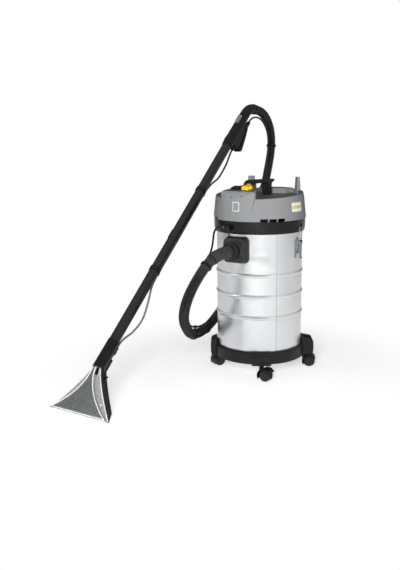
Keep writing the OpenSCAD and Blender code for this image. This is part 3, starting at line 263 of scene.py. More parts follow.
def hose_skin(name, line, first, radius, sides):
    """Tube round a line: point = line + radius (cos u normal + sin u binormal), with
    radius given for each point of the line."""
    normal, across = carried_frame(line, first)
    u = np.linspace(0, 2 * np.pi, sides, endpoint=False)
    grid = line[:, None] + radius[:, None, None] * (
        np.cos(u)[None, :, None] * normal[:, None] + np.sin(u)[None, :, None] * across[:, None])
    return lay_skin(name, grid)


def store_rings(piece, name, values, sides):
    """Keeps one number for each ring of a skin, the same all the way round it."""
    kept = piece.data.attributes.new(name, "FLOAT", "POINT")
    spread = np.concatenate([np.repeat(values, sides), [values[0], values[-1]]])
    kept.data.foreach_set("value", spread.astype(np.float32))


def shade(code, gain, lift=0.0):
    """A hex colour made brighter or darker: gain times each linear channel, plus
    lift, up to 1."""
    return (*(min(1.0, lift + gain * c) for c in linear(code)[:3]), 1.0)


def moulded(name, dark, light, rough, grain=1.1, depth=0.015, corner=1.2, wear_and_sheen=0.3, gloss=0.18):
    """Injection-moulded plastic. The colour drifts between dark and light in flow
    marks 70 mm across, and the bump is the spark-eroded grain of the mould, drawn
    coarser than the real 0.1 mm so that it shows. Corners, found as the angle
    between the flat normal and one rounded over the corner's width, are painted
    paler: not at all at 6 degrees, and as much as the given wear and sheen at 31.
    This stands for rubbed wear and, where set high, for a painted highlight on
    rounded edges. The grain, its depth and the corner are in millimetres, and gloss
    is the specular level."""
    paint = bpy.data.materials.new(name)
    paint.use_nodes = True
    t = paint.node_tree
    shader = t.nodes["Principled BSDF"]
    shader.inputs["Specular IOR Level"].default_value = gloss
    place = add(t, "ShaderNodeTexCoord")
    flow = add(t, "ShaderNodeTexNoise", {"Scale": 1 / 0.070, "Detail": 4.0},
               {"Vector": place.outputs["Object"]})
    tint = add(t, "ShaderNodeMix", {"A": linear(dark), "B": linear(light)},
               {"Factor": flow.outputs["Fac"]}, data_type="RGBA")
    soft = add(t, "ShaderNodeBevel", {"Radius": corner / 1000}, samples=4)
    flat = add(t, "ShaderNodeNewGeometry")
    angle = add(t, "ShaderNodeVectorMath", {}, {0: soft.outputs["Normal"], 1: flat.outputs["Normal"]},
                operation="DOT_PRODUCT")
    # Corner paling: rubbed wear, and a painted highlight where it is set high.
    rub = add(t, "ShaderNodeMapRange", {"From Min": 0.995, "From Max": 0.86, "To Max": wear_and_sheen},
              {"Value": angle.outputs["Value"]})
    pale = add(t, "ShaderNodeMix", {"B": shade(light, 1.6, 0.03)},
               {"Factor": rub.outputs["Result"], "A": tint.outputs["Result"]}, data_type="RGBA")
    t.links.new(pale.outputs["Result"], shader.inputs["Base Color"])
    grit = add(t, "ShaderNodeTexNoise", {"Scale": 1000 / grain, "Detail": 2.0},
               {"Vector": place.outputs["Object"]})
    skin = add(t, "ShaderNodeBump", {"Strength": 0.5, "Distance": depth / 1000},
               {"Height": grit.outputs["Fac"], "Normal": soft.outputs["Normal"]})
    t.links.new(skin.outputs["Normal"], shader.inputs["Normal"])
    sheen = add(t, "ShaderNodeMapRange", {"To Min": rough - 0.06, "To Max": rough + 0.08},
                {"Value": flow.outputs["Fac"]})
    t.links.new(sheen.outputs["Result"], shader.inputs["Roughness"])
    return paint


def recolour(paint, code, where):
    """Lays a second colour over a finish: the finish's own colour turns to it as
    where, the output of a node, goes from 0 to 1."""
    t = paint.node_tree
    colour = t.nodes["Principled BSDF"].inputs["Base Color"]
    over = add(t, "ShaderNodeMix", {"B": linear(code)}, {"Factor": where, "A": colour.links[0].from_socket},
               data_type="RGBA")
    t.links.new(over.outputs["Result"], colour)


hose_points = np.array([
    [0, -216, 466], [0, -228, 466], [0, -240, 466], [0, -252, 466], [-3, -297, 458], [-10, -336, 435],
    [-22, -366, 399], [-41, -381, 355], [-63, -380, 308], [-86, -361, 264], [-108, -329, 228],
    [-130, -288, 197], [-151, -240, 164], [-170, -187, 142], [-184, -130, 132], [-195, -68, 134],
    [-202, -2, 152], [-207, 68, 186], [-211, 140, 240], [-215, 210, 304], [-218, 276, 380],
    [-222, 340, 466], [-226, 396, 552], [-229, 438, 630], [-230, 466, 694], [-230, 482.5, 738],
    [-230, 493.3, 772], [-230, 499.3, 807], [-230, 498.2, 842], [-230, 487.6, 875.8],
    [-230, 468.5, 905.7], [-230, 442.3, 929.7], [-230, 410.8, 946.1], [-230, 377.8, 953.6],
    [-230, 365.9, 954.7], [-230, 353, 955.9], [-230, 341, 957]]) / 1000
hose_ribs, rib_steps, hose_sides = 290, 6, 36
hose_radius, rib_depth = 0.018, 0.0023
hose_line, hose_length = route_line(hose_points, hose_ribs * rib_steps)
rib_crest = 0.5 + 0.5 * np.cos(np.arange(len(hose_line)) / rib_steps * 2 * np.pi)
suction_hose = hose_skin("suction_hose_ribbed", hose_line, (1, 0, 0),
                         hose_radius - rib_depth * (1 - rib_crest) ** 1.3, hose_sides)
run = np.linspace(0, hose_length, len(hose_line))
# How strong the painted highlight on the crests is at 90, 140 and 180 mm from the cuff, and beyond.
crest_highlight_along = np.interp(run, [0.09, 0.14, 0.18], [0.35, 0.25, 0.02])
store_rings(suction_hose, "crest_highlight", rib_crest ** 2 * crest_highlight_along, hose_sides)
# Blown polyethylene, soft black: the crests of the ribs carry a dull grey painted highlight.
hose_black = moulded("blown_polyethylene_black", "#070708", "#0e0e0f", 0.25,
                     grain=1.4, corner=0.6, wear_and_sheen=0.05, gloss=0.3)
crest_highlight_mask = add(hose_black.node_tree, "ShaderNodeAttribute", attribute_name="crest_highlight")
recolour(hose_black, "#7b7c7e", crest_highlight_mask.outputs["Fac"])
suction_hose.data.materials.append(hose_black)
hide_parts("suction_hose")
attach(suction_hose, "machine")

# Bend sleeve: a stouter corrugated sleeve of the same plastic, 42 mm outside, pushed
# over the hose where it leaves the cuff, so that its first bend stays wide.
sleeve_length, sleeve_radius, sleeve_depth, sleeve_sides = 0.0989, 0.0210, 0.0014, 48
sleeve_spans = int(sleeve_length / hose_length * len(hose_line))
sleeve_at = np.linspace(0, sleeve_spans - 1, sleeve_spans * 2 - 1)
hose_count = np.arange(len(hose_line))
sleeve_line = np.stack([np.interp(sleeve_at, hose_count, hose_line[:, k]) for k in range(3)], 1)
sleeve_crest = 0.5 - 0.5 * np.cos(sleeve_at / rib_steps * 2 * np.pi)
bend_sleeve = hose_skin("bend_sleeve_ribbed", sleeve_line, (1, 0, 0),
                        sleeve_radius - sleeve_depth * (1 - sleeve_crest) ** 1.5, sleeve_sides)
# The sleeve's crests carry the same painted highlight.
store_rings(bend_sleeve, "crest_highlight", 0.4 * sleeve_crest ** 2, sleeve_sides)
bend_sleeve.data.materials.append(hose_black)
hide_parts("bend_sleeve")
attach(bend_sleeve, "machine")


# Hose clips: black nylon clips that snap round the suction hose and hold the thin
# spray hose beside it.
def paint_nodes(paint, *names):
    """Gives the named CAD nodes one finish."""
    for name in names:
        for place in nodes[name].material_slots:
            place.material = paint


paint_nodes(moulded("moulded_nylon_clip", "#0e0e0e", "#161616", 0.4), "hose_clips")

# Spray hose: 7 mm polyurethane hose from the plug on the band to the spray valve of
# the wand, clipped to the suction hose on the way. It is smooth, with a soft shine.
spray_points = np.array([
    [-52.5, -165, 543], [-56.4, -164.2, 543], [-60.3, -163.5, 543], [-75.5, -160.6, 540.2],
    [-88, -158.6, 531.5], [-94.5, -159.3, 517], [-93, -166, 499], [-85, -184, 479], [-72, -213, 463],
    [-58, -248, 452], [-50, -284, 440], [-46, -314, 420], [-48, -338, 390], [-58, -352, 354],
    [-76, -352, 312], [-98, -334, 272], [-120, -302, 236], [-142, -260, 206], [-160, -210, 178],
    [-168, -150, 164], [-170, -84, 166], [-175, -14, 183], [-180, 58, 214], [-184, 130, 264],
    [-188, 200, 330], [-192, 266, 406], [-198, 328, 490], [-205, 384, 574], [-213, 424, 656],
    [-220, 450, 726], [-226, 466, 782], [-230, 473, 822], [-230, 468, 854], [-230, 450, 884],
    [-230, 424, 908], [-230, 392, 922], [-230, 360, 925], [-230, 336, 920.5], [-230, 318.2, 911.4],
    [-230, 315.2, 908.7], [-230, 312.4, 906.3]]) / 1000
line_radius, line_sides, spray_spans = 0.0035, 20, 420
spray_line, spray_length = route_line(spray_points, spray_spans)
spray_hose = hose_skin("spray_hose_round", spray_line, (0, 0, 1),
                       np.full(len(spray_line), line_radius), line_sides)
# Extruded polyurethane, black: smooth from the die, so its shine is clearer.
line_black = moulded("extruded_polyurethane_black", "#090909", "#101010", 0.3,
                     grain=0.8, depth=0.05, wear_and_sheen=0.0, gloss=0.3)
spray_hose.data.materials.append(line_black)
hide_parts("spray_hose")
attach(spray_hose, "machine")

# Spray line of the wand: the same 7 mm hose from the valve down under the tubes to
# the nozzle's coupling. Its last stretch, 335 to 537 mm in front, is coloured pale grey.
wand_points = np.array([
    [-230, 182.5, 798.8], [-230, 178.2, 795], [-230, 173.7, 791.1], [-230, 159, 772.9],
    [-230, 136.5, 742.4], [-230, 83.9, 696.2], [-230, 30.7, 673.5], [-230, -9.1, 649.1],
    [-230, -24.1, 635.9], [-230, -39.2, 622.7], [-230, -91, 577.2], [-230, -150.8, 524],
    [-230, -180.5, 497.2], [-230, -240.9, 444.8], [-230, -299.1, 394.3], [-230, -314.1, 381.1],
    [-230, -329.2, 367.9], [-230, -351.5, 340.3], [-230, -375.5, 287.3], [-230, -406.2, 239],
    [-230, -457.9, 206.9], [-230, -506.2, 193.8], [-230, -529.6, 182.5], [-230, -536.3, 178],
    [-230, -540.8, 174], [-230, -543.6, 171.6]]) / 1000
wand_spans = 260
wand_line, wand_line_length = route_line(wand_points, wand_spans)
wand_spray = hose_skin("wand_line_round", wand_line, (1, 0, 0),
                       np.full(len(wand_line), line_radius), line_sides)
grey_from, grey_to, grey_blend = -0.335, -0.537, 0.004
wand_y = wand_line[:, 1]
past_start = np.clip((grey_from - wand_y) / grey_blend, 0, 1)
before_end = np.clip((wand_y - grey_to) / grey_blend, 0, 1)
store_rings(wand_spray, "grey_stretch", past_start * before_end, line_sides)
# Extruded polyurethane as on the spray hose, pale grey over its last stretch.
line_grey = line_black.copy()
line_grey.name = "extruded_polyurethane_pale_tip"
grey_mask = add(line_grey.node_tree, "ShaderNodeAttribute", attribute_name="grey_stretch")
recolour(line_grey, "#6e6f70", grey_mask.outputs["Fac"])
wand_spray.data.materials.append(line_grey)
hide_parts("wand_spray_line")
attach(wand_spray, "machine")

# Trolley ring: one moulding of glass-filled nylon with four caster blocks; the two
# rear ones are sockets for spare tools. The fibres give a dull satin black.
paint_nodes(moulded("moulded_nylon_trolley", "#161617", "#202021", 0.4, wear_and_sheen=0.4, gloss=0.2),
            "trolley_ring")

# Casters: nylon hoods and forks that swivel on steel stems, with twin hard wheels
# that turn on a plated axle. The hoods are a little glossier than the treads.
paint_nodes(moulded("moulded_nylon_fork", "#0c0c0d", "#151516", 0.34, gloss=0.26),
            *["caster_fork_%d" % i for i in (1, 2, 3, 4)])
paint_nodes(moulded("moulded_polyurethane_wheel", "#18181a", "#232325", 0.4,
                    corner=3.0, wear_and_sheen=0.35, gloss=0.28),
            *["caster_wheels_%d" % i for i in (1, 2, 3, 4)])


def metal(name, colour, rough, streak=(1.0, 1.0, 1.0), line_mm=2.0, press=0.04, corner=0.5):
    """Bare or plated metal. Roughness, tint and a shallow bump follow lines of the
    given width, which streak draws out along the way the metal was rolled, drawn or
    brushed: a small number of streak makes the lines long that way. The lines, the
    depth they press in and the rounded corner are in millimetres."""
    paint = bpy.data.materials.new(name)
    paint.use_nodes = True
    t = paint.node_tree
    shader = t.nodes["Principled BSDF"]
    shader.inputs["Metallic"].default_value = 1.0
    place = add(t, "ShaderNodeTexCoord")
    pull = add(t, "ShaderNodeMapping", {"Scale": streak}, {"Vector": place.outputs["Object"]})
    lines = add(t, "ShaderNodeTexNoise", {"Scale": 1000 / line_mm, "Detail": 3.0},
                {"Vector": pull.outputs["Vector"]})
    polish = add(t, "ShaderNodeMapRange", {"To Min": rough * 0.7, "To Max": rough * 1.3},
                 {"Value": lines.outputs["Fac"]})
    t.links.new(polish.outputs["Result"], shader.inputs["Roughness"])
    tint = add(t, "ShaderNodeMix", {"A": shade(colour, 0.93), "B": shade(colour, 1.05)},
               {"Factor": lines.outputs["Fac"]}, data_type="RGBA")
    t.links.new(tint.outputs["Result"], shader.inputs["Base Color"])
    soft = add(t, "ShaderNodeBevel", {"Radius": corner / 1000}, samples=4)
    pressed = add(t, "ShaderNodeBump", {"Strength": 0.25, "Distance": press / 1000},
                  {"Height": lines.outputs["Fac"], "Normal": soft.outputs["Normal"]})
    t.links.new(pressed.outputs["Normal"], shader.inputs["Normal"])
    return paint


# Zinc-plated steel: a slightly blue, silky grey.
zinc = metal("zinc_plated_steel", "#c4c6c8", 0.28)
paint_nodes(zinc, *["caster_axle_%d" % i for i in (1, 2, 3, 4)])

# Tank: a drum of thin stainless sheet, rolled, seam-welded and pressed with three
# beads, with a rolled rim. It is bright-annealed and finely brushed round the drum.
steel = metal("brushed_stainless_drum", "#e4e5e6", 0.38, streak=(0.35, 0.35, 22.0), line_mm=16.7)
t = steel.node_tree
shader = t.nodes["Principled BSDF"]
drum_place = add(t, "ShaderNodeTexCoord")
# The thin sheet is never quite true: dents and ripples 65 mm across bend its reflections.
ripple = add(t, "ShaderNodeTexNoise", {"Scale": 1 / 0.065, "Detail": 1.0},
             {"Vector": drum_place.outputs["Object"]})
waves = add(t, "ShaderNodeBump", {"Strength": 1.0, "Distance": 0.0045},
            {"Height": ripple.outputs["Fac"], "Normal": shader.inputs["Normal"].links[0].from_socket})
t.links.new(waves.outputs["Normal"], shader.inputs["Normal"])
# The weld is a dull, faintly straw-coloured line 3 mm wide, down the drum at 53 degrees
# from the front. Its width is given as an angle, in radians either side of the line.
weld_turn, weld_core, weld_fade = math.radians(53.0), 0.003, 0.014
drum_xyz = add(t, "ShaderNodeSeparateXYZ", {}, {"Vector": drum_place.outputs["Object"]})
drum_front = add(t, "ShaderNodeMath", {1: -1.0}, {0: drum_xyz.outputs["Y"]}, operation="MULTIPLY")
drum_turn = add(t, "ShaderNodeMath", {}, {0: drum_xyz.outputs["X"], 1: drum_front.outputs[0]},
                operation="ARCTAN2")
from_weld = add(t, "ShaderNodeMath", {1: weld_turn}, {0: drum_turn.outputs[0]}, operation="SUBTRACT")
weld_gap = add(t, "ShaderNodeMath", {}, {0: from_weld.outputs[0]}, operation="ABSOLUTE")
weld = add(t, "ShaderNodeMapRange", {
    "From Min": weld_core, "From Max": weld_fade, "To Min": 0.55, "To Max": 0.0},
    {"Value": weld_gap.outputs[0]}, interpolation_type="SMOOTHSTEP")
recolour(steel, "#9c9890", weld.outputs["Result"])
paint_nodes(steel, "tank")


# Button: a rubber grommet that closes a hole in the drum beside the spray plug. It
# is pushed in from outside, and its dome stands 2 mm off the steel.
def turned_piece(name, foot, axis, profile, sides=28):
    """Solid of revolution: for each height h and radius r of the profile, a ring
    foot + h axis + r (cos u, sin u) in two directions square to the axis. The foot
    and the profile are in millimetres."""
    n = np.asarray(axis, float)
    n /= np.linalg.norm(n)
    aslant = (0.3, 0.2, 1.0)
    across = np.cross(n, aslant)
    across /= np.linalg.norm(across)
    over = np.cross(n, across)
    u = np.linspace(0, 2 * np.pi, sides, endpoint=False)
    h, r = np.asarray(profile, float).T[:, :, None, None] / 1000
    return lay_skin(name, np.asarray(foot) / 1000 + h * n + r * (
        np.cos(u)[:, None] * across + np.sin(u)[:, None] * over))


def domed(radius, proud, sunk=0.6):
    """Profile of a button: a wall from below the surface to a quarter of the dome's
    height, then a quarter ellipse, r cos v out and h (1/4 + 3/4 sin v) up, with v
    stopped just short of the top."""
    v = np.linspace(0, np.pi / 2 * 0.96, 9)
    return [(-sunk, radius)] + list(zip(proud * (0.25 + 0.75 * np.sin(v)), radius * np.cos(v)))


# Moulded rubber, black: dead matt beside the steel.
rubber = moulded("moulded_rubber_black", "#0f0f0f", "#191919", 0.6)
button_foot, button_axis = (-36.8, -150.6, 515.8), (-0.257, -0.966, 0)
drum_button = turned_piece("drum_button", button_foot, button_axis, domed(3.6, 2.0))
drum_button.data.materials.append(rubber)
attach(drum_button, "machine")

# Clean-water tank, float and deflector inside the drum: blow-moulded polyethylene in
# milky white, and a black elbow of ABS that turns the dirty water down.
paint_nodes(moulded("blown_polyethylene_white", "#d3d2ce", "#dfddda", 0.45, grain=3.3),
            "fresh_tank", "float_ball")
black_abs = moulded("moulded_abs_black", "#0d0d0e", "#151516", 0.34, gloss=0.3)
paint_nodes(black_abs, "inlet_deflector")

# Inlet: a square flange of satin ABS, screwed to the drum, and the cuff that turns in
# it and takes the hose. The flange's broad rounded edges catch the light.
# Its rounded edges are also painted pale by the high corner paling: a painted highlight.
paint_nodes(moulded("moulded_abs_flange", "#19191a", "#242425", 0.3, corner=5.0, wear_and_sheen=0.7, gloss=0.45),
            "inlet_flange")
paint_nodes(black_abs, "inlet_cuff")

# Latches: pressed stainless base and lever with a bail of spring wire. Tumbled
# stainless reads darker than the drum, with bright worn edges.
latch_steel = metal("tumbled_stainless_latch", "#9a9c9e", 0.18, line_mm=1.2, corner=0.8)
paint_nodes(latch_steel, "latch_base_left", "latch_base_right", "latch_lever_left", "latch_lever_right",
            "latch_bail_left", "latch_bail_right")

# Head band: an ABS ring that closes the drum and carries the deck, on a rubber seal
# that sits on the rolled rim. It is polished more than the trolley.
paint_nodes(moulded("moulded_abs_band", "#0d0d0e", "#141415", 0.26, wear_and_sheen=0.4, gloss=0.26), "head_band")
paint_nodes(moulded("moulded_rubber_seal", "#1b1b1b", "#272727", 0.7), "head_seal")

# Motor, pump, filter and float cage under the cover: plain technical mouldings, a
# rotor wound in enamelled copper, and a pleated paper filter.
paint_nodes(moulded("moulded_nylon_motor", "#3e3e3f", "#4a4a4b", 0.5), "motor_housing", "water_pump")
paint_nodes(metal("enamelled_copper", "#cda077", 0.35), "motor_rotor")
paint_nodes(moulded("pleated_filter_paper", "#cec6b2", "#dcd6c4", 0.85, grain=0.7), "filter_cartridge")
paint_nodes(black_abs, "float_cage")

# Motor cover: mid-grey polypropylene, moulded with the nose, the tray for small
# parts and the two posts that the mains cord is wound on. Its skin is a soft satin.
# The faces that lie level carry painted shade: they are coloured darker than the rest.
cover_grey = moulded("moulded_polypropylene_grey", "#868788", "#8c8d8e", 0.42,
                     corner=3.5, wear_and_sheen=0.3, gloss=0.06)
t = cover_grey.node_tree
facing = add(t, "ShaderNodeNewGeometry")
lie = add(t, "ShaderNodeSeparateXYZ", {}, {"Vector": facing.outputs["True Normal"]})
# Painted shade: faces whose normal points up are darkened towards #4e4f50.
painted_top_shade = add(t, "ShaderNodeMapRange", {"From Min": 0.75, "From Max": 0.97, "To Max": 0.8},
                 {"Value": lie.outputs["Z"]})
recolour(cover_grey, "#4e4f50", painted_top_shade.outputs["Result"])
paint_nodes(cover_grey, "head_cover")


# Badge and label of the cover: blank printed foils, stuck in shallow recesses. The
# badge is grey with a white border, the label white with one pale yellow band.
def bent_plate(name, turn, height, size, wall, rings, power=12.0, sides=96):
    """Thin plate bent round the drum's axis, in millimetres and degrees. Its outline
    is the superellipse |a/w|^p + |b/h|^p = 1. Each ring is the outline scaled by the
    first number of the pair and lifted off the wall by the second; wall gives the
    radius at a height."""
    u = np.linspace(0, 2 * np.pi, sides, endpoint=False)
    a = size[0] / 2 * np.sign(np.cos(u)) * np.abs(np.cos(u)) ** (2 / power)
    b = size[1] / 2 * np.sign(np.sin(u)) * np.abs(np.sin(u)) ** (2 / power)
    scale, lift = np.asarray(rings, float).T[:, :, None]
    z = height + scale * b
    r = wall(z) + lift
    phi = math.radians(turn) + scale * a / r
    return lay_skin(name, np.stack([r * np.sin(phi), -r * np.cos(phi), z], -1) / 1000, smooth=False)


def nose_wall(z):
    """Radius of the nose's face: upright, 167.5 mm out."""
    return np.full_like(z, 167.5)


def side_wall(z):
    """Radius of the cover's side: 163.9 mm at 598.4 mm up, drawn in 0.1014 mm for
    each mm above that."""
    return 163.9 - 0.1014 * (z - 598.4)


def printed(name, field, rough):
    """Screen-printed foil: the ink is a flat colour that drifts by a tenth over 20 mm,
    under a clear coat."""
    paint = bpy.data.materials.new(name)
    paint.use_nodes = True
    t = paint.node_tree
    shader = t.nodes["Principled BSDF"]
    shader.inputs["Coat Weight"].default_value = 0.3
    shader.inputs["Roughness"].default_value = rough
    place = add(t, "ShaderNodeTexCoord")
    drift = add(t, "ShaderNodeTexNoise", {"Scale": 1 / 0.020, "Detail": 2.0},
                {"Vector": place.outputs["Object"]})
    ink = add(t, "ShaderNodeMix", {"A": shade(field, 0.9), "B": linear(field)},
              {"Factor": drift.outputs["Fac"]}, data_type="RGBA")
    t.links.new(ink.outputs["Result"], shader.inputs["Base Color"])
    return paint


foil_white = printed("printed_foil_white", "#f2f2f0", 0.45)
foil_grey = printed("printed_foil_grey", "#8c8d8e", 0.45)
foil_yellow = printed("printed_foil_yellow", "#dcc866", 0.45)
inward = (0.97, 0.85, 0.7, 0.55, 0.4, 0.25, 0.1, 0.01)
sheet_rings = [(1.0, -0.8), (1.0, 0.35)] + [(k, 0.5) for k in inward]
ink_rings = [(1.0, -0.3), (1.0, 0.7)] + [(k, 0.7) for k in inward[1:]]
for plate_name, turn, height, size, wall, rings, ink, slot in (
        ("badge_border", 0.5, 617.0, (26.0, 32.0), nose_wall, sheet_rings, foil_white, "white_plastic"),
        ("badge_field", 0.5, 617.0, (22.6, 28.6), nose_wall, ink_rings, foil_grey, "grey_plastic"),
        ("label_sheet", 83.0, 610.5, (59.0, 32.0), side_wall, sheet_rings, foil_white, "white_plastic"),
        ("label_band", 83.0, 610.9, (57.0, 9.6), side_wall, ink_rings, foil_yellow, "white_plastic")):
    plate = bent_plate(plate_name, turn, height, size, wall, rings)
    plate.data.materials.append(ink)
    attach(plate, "machine")

# Cover plugs: two grey caps of polyethylene that close the screw holes at the top of
# the nose. They are pushed in and stand 0.7 mm off the slope.
cap_grey = moulded("moulded_polyethylene_cap", "#4c4d4e", "#565758", 0.4, gloss=0.4)
nose_slope = (0, -0.878, 0.479)
for plug_name, foot in (("cover_plug_left", (-16.9, -166.4, 648.5)),
                        ("cover_plug_right", (22.5, -164.5, 652.0))):
    plug = turned_piece(plug_name, foot, nose_slope, domed(3.2, 0.7))
    plug.data.materials.append(cap_grey)
    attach(plug, "machine")

# Controls: a gloss yellow knob of ABS for the suction and spray settings, a black
# rocker in its frame, and the carrying handle of nylon, screwed through the cover.
paint_nodes(moulded("moulded_abs_yellow", "#efc008", "#f5cb10", 0.32,
                    grain=1.6, corner=2.5, wear_and_sheen=0.05, gloss=0.35), "selector_knob")
paint_nodes(moulded("moulded_nylon_rocker", "#0a0a0a", "#111111", 0.26, gloss=0.3),
            "power_rocker", "rocker_frame")
paint_nodes(moulded("moulded_nylon_handle", "#0b0b0b", "#131314", 0.34, corner=3.0, wear_and_sheen=0.35, gloss=0.2),
            "carrying_handle")

# Spray socket on the band, black nylon, and the plug of the spray hose: a turned
# brass fitting, nickel plated, that a sleeve locks.
paint_nodes(moulded("moulded_nylon_socket", "#0b0b0b", "#141415", 0.3, gloss=0.3), "spray_socket")
paint_nodes(metal("nickel_plated_brass", "#7d7e80", 0.2, line_mm=0.8), "spray_plug")

# Wand tubes: two drawn aluminium tubes, anodised black, that push together, with
# nylon clip rings for the spray line. The anodised skin has a fine, even sheen.
paint_nodes(moulded("anodised_aluminium_black", "#111112", "#19191a", 0.3,
                    grain=0.7, depth=0.02, wear_and_sheen=0.3, gloss=0.34),
            "lower_tube", "upper_tube")
paint_nodes(moulded("moulded_nylon_ring", "#0c0c0d", "#151516", 0.36, gloss=0.22), "tube_clips")

# Hand grip: a fine-grained nylon moulding in halves that clamps the upper tube, with
# the cuff that the hose screws into and the grey slide of the air valve on top.
grip_black = moulded("moulded_nylon_grip", "#0a0a0b", "#111112", 0.36, corner=2.0, wear_and_sheen=0.4, gloss=0.18)
paint_nodes(grip_black, "hand_grip", "grip_cuff")
paint_nodes(moulded("moulded_nylon_slide", "#7c7d7f", "#88898b", 0.4, wear_and_sheen=0.4), "air_slide")

# Spray valve under the grip: a nylon body with a squeeze trigger on a steel pin, and
# a brass plunger inside.
paint_nodes(moulded("moulded_nylon_valve", "#0e0e0f", "#161617", 0.38, corner=2.0, wear_and_sheen=0.4, gloss=0.2),
            "valve_body", "spray_trigger")
paint_nodes(zinc, "trigger_pin")
brass = metal("turned_brass", "#dabf86", 0.25, line_mm=0.8)
paint_nodes(brass, "valve_stem")

# Floor nozzle: a black nylon back and a clear polycarbonate cover, screwed on, which
# shows the dirty water on its way up. The coupling of the spray line is push-fit, and
# the sleeve on the neck is of the grip's grained nylon.
paint_nodes(moulded("moulded_nylon_nozzle", "#0c0c0c", "#141414", 0.34, corner=2.0, gloss=0.3),
            "nozzle_back", "line_coupling")
paint_nodes(grip_black, "neck_sleeve")
paint_nodes(zinc, "nozzle_screws")
paint_nodes(brass, "spray_jet")
# Polycarbonate with a drawn-satin inside: hazy grey over the black back, and half
# clear over the white floor. The flanges are painted paler, as the white floor shining
# through, and the walls on edge carry a painted highlight.
clear = bpy.data.materials.new("moulded_polycarbonate_clear")
clear.use_nodes = True
t = clear.node_tree
shader = t.nodes["Principled BSDF"]
shader.inputs["IOR"].default_value = 1.58
place = add(t, "ShaderNodeTexCoord")
flow = add(t, "ShaderNodeTexNoise", {"Scale": 1 / 0.018, "Detail": 3.0},
           {"Vector": place.outputs["Object"]})
haze = add(t, "ShaderNodeMix", {"A": linear("#717272"), "B": linear("#7d7e7e")},
           {"Factor": flow.outputs["Fac"]}, data_type="RGBA")
t.links.new(haze.outputs["Result"], shader.inputs["Base Color"])
# The flanges lie within 4 mm of the back's face. With the slope's lean a, the height
# off it is z cos a - (y + lip_front) sin a. Low places are painted paler, in streaks:
# painted light of the white floor seen through them.
lean, lip_front, nozzle_middle = math.radians(54.9), 737.0, -230.0
at_face = lip_front / 1000 * math.sin(lean)
off_slope = add(t, "ShaderNodeVectorMath", {1: (0.0, -math.sin(lean), math.cos(lean))},
                {0: place.outputs["Object"]}, operation="DOT_PRODUCT")
low_place = add(t, "ShaderNodeMapRange", {"From Min": at_face + 0.009, "From Max": at_face + 0.004},
                {"Value": off_slope.outputs["Value"]})
draw = add(t, "ShaderNodeTexNoise", {"Scale": 1 / 0.007, "Detail": 4.0},
           {"Vector": place.outputs["Object"]})
streaks = add(t, "ShaderNodeMapRange", {"From Min": 0.35, "From Max": 0.65, "To Min": 0.6, "To Max": 1.0},
              {"Value": draw.outputs["Fac"]})
flange = add(t, "ShaderNodeMath", {}, {0: low_place.outputs["Result"], 1: streaks.outputs["Result"]},
             operation="MULTIPLY")
# Painted light of the floor on the flanges.
recolour(clear, "#d2d3d4", flange.outputs[0])
# A wall stands on edge where its normal points sideways, along x. Such walls are
# painted paler, as a painted highlight.
stand = add(t, "ShaderNodeNewGeometry")
stand_xyz = add(t, "ShaderNodeSeparateXYZ", {}, {"Vector": stand.outputs["Normal"]})
on_edge = add(t, "ShaderNodeMath", {}, {0: stand_xyz.outputs["X"]}, operation="ABSOLUTE")
painted_edge_highlight = add(t, "ShaderNodeMapRange", {"From Min": 0.25, "From Max": 0.8},
                 {"Value": on_edge.outputs[0]})
recolour(clear, "#c9cbcc", painted_edge_highlight.outputs["Result"])
polish = add(t, "ShaderNodeMapRange", {"To Min": 0.10, "To Max": 0.24}, {"Value": flow.outputs["Fac"]})
t.links.new(polish.outputs["Result"], shader.inputs["Roughness"])
through = add(t, "ShaderNodeBsdfTransparent", {"Color": linear("#ebebeb")})
body = add(t, "ShaderNodeMapRange", {"To Min": 0.40, "To Max": 0.50}, {"Value": flow.outputs["Fac"]})
sheet = add(t, "ShaderNodeMixShader", {}, {
    0: body.outputs["Result"], 1: through.outputs[0], 2: shader.outputs[0]})
t.links.new(sheet.outputs[0], t.nodes["Material Output"].inputs["Surface"])
paint_nodes(clear, "nozzle_cover")


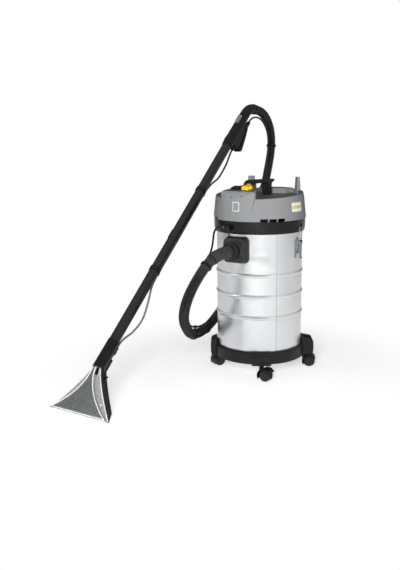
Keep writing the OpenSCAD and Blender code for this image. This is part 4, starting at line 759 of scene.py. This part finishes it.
# Beads of the nozzle cover: the moulding's rounded rims along the channel, along the
# flanges and across the lip. They carry a painted highlight: near-white tubes laid along
# these edges.
def on_nozzle(x, u, w):
    """Point of the nozzle's face, from millimetres: x across it from its middle, u up
    its slope from the lip and w off the slope, which leans back from the floor."""
    y = -lip_front + u * math.cos(lean) - w * math.sin(lean)
    z = u * math.sin(lean) + w * math.cos(lean)
    return np.stack([nozzle_middle + x, y, z], -1) / 1000


# Painted highlight for the rounded edges: almost white, with a wet shine.
painted_bead_highlight = moulded("polycarbonate_painted_highlight", "#e0e1e2", "#ececed", 0.16, wear_and_sheen=0.0, gloss=0.6)
slope_length, bead_sides = 162, 12
climb = np.linspace(4.0, 158.0, 120)
for sign, hand in ((-1, "left"), (1, "right")):
    for rim_name, top, spread, power, inside, off, radius in (
            ("channel_highlight_bead_", 7, 112, 2.1, 1.4, 14.0, 1.8), ("flange_highlight_bead_", 18, 107, 1.25, 1.7, 2.7, 1.7)):
        across = sign * (top + spread * (1 - climb / slope_length) ** power - inside)
        bead_path = on_nozzle(across, climb, np.full_like(climb, off))
        bead = hose_skin(rim_name + hand, bead_path, (0, 0, 1),
                         np.full_like(climb, radius / 1000), bead_sides)
        bead.data.materials.append(painted_bead_highlight)
        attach(bead, "machine")
lip_half, lip_up, lip_off, lip_radius = 114.0, 3.3, 13.2, 0.0019
lip_x = np.linspace(-lip_half, lip_half, 60)
lip_path = on_nozzle(lip_x, np.full_like(lip_x, lip_up), np.full_like(lip_x, lip_off))
lip_highlight_bead = hose_skin("lip_highlight_bead", lip_path, (0, 0, 1), np.full_like(lip_x, lip_radius), bead_sides)
lip_highlight_bead.data.materials.append(painted_bead_highlight)
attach(lip_highlight_bead, "machine")

# Line hook of the nozzle: a nylon peg on the neck that the spray line hangs on when
# the coupling is open. It is moulded with the sleeve. Heights and radii are in mm.
hook_foot, hook_axis = (-199.8, -639.9, 99.8), (0.863, 0.291, 0.414)
hook_profile = [(-3.0, 2.6), (0.0, 2.6), (5.0, 2.4), (6.0, 3.2), (8.0, 3.3), (9.4, 2.6), (10.0, 1.2)]
line_hook = turned_piece("line_hook", hook_foot, hook_axis, hook_profile, 20)
line_hook.data.materials.append(grip_black)
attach(line_hook, "machine")
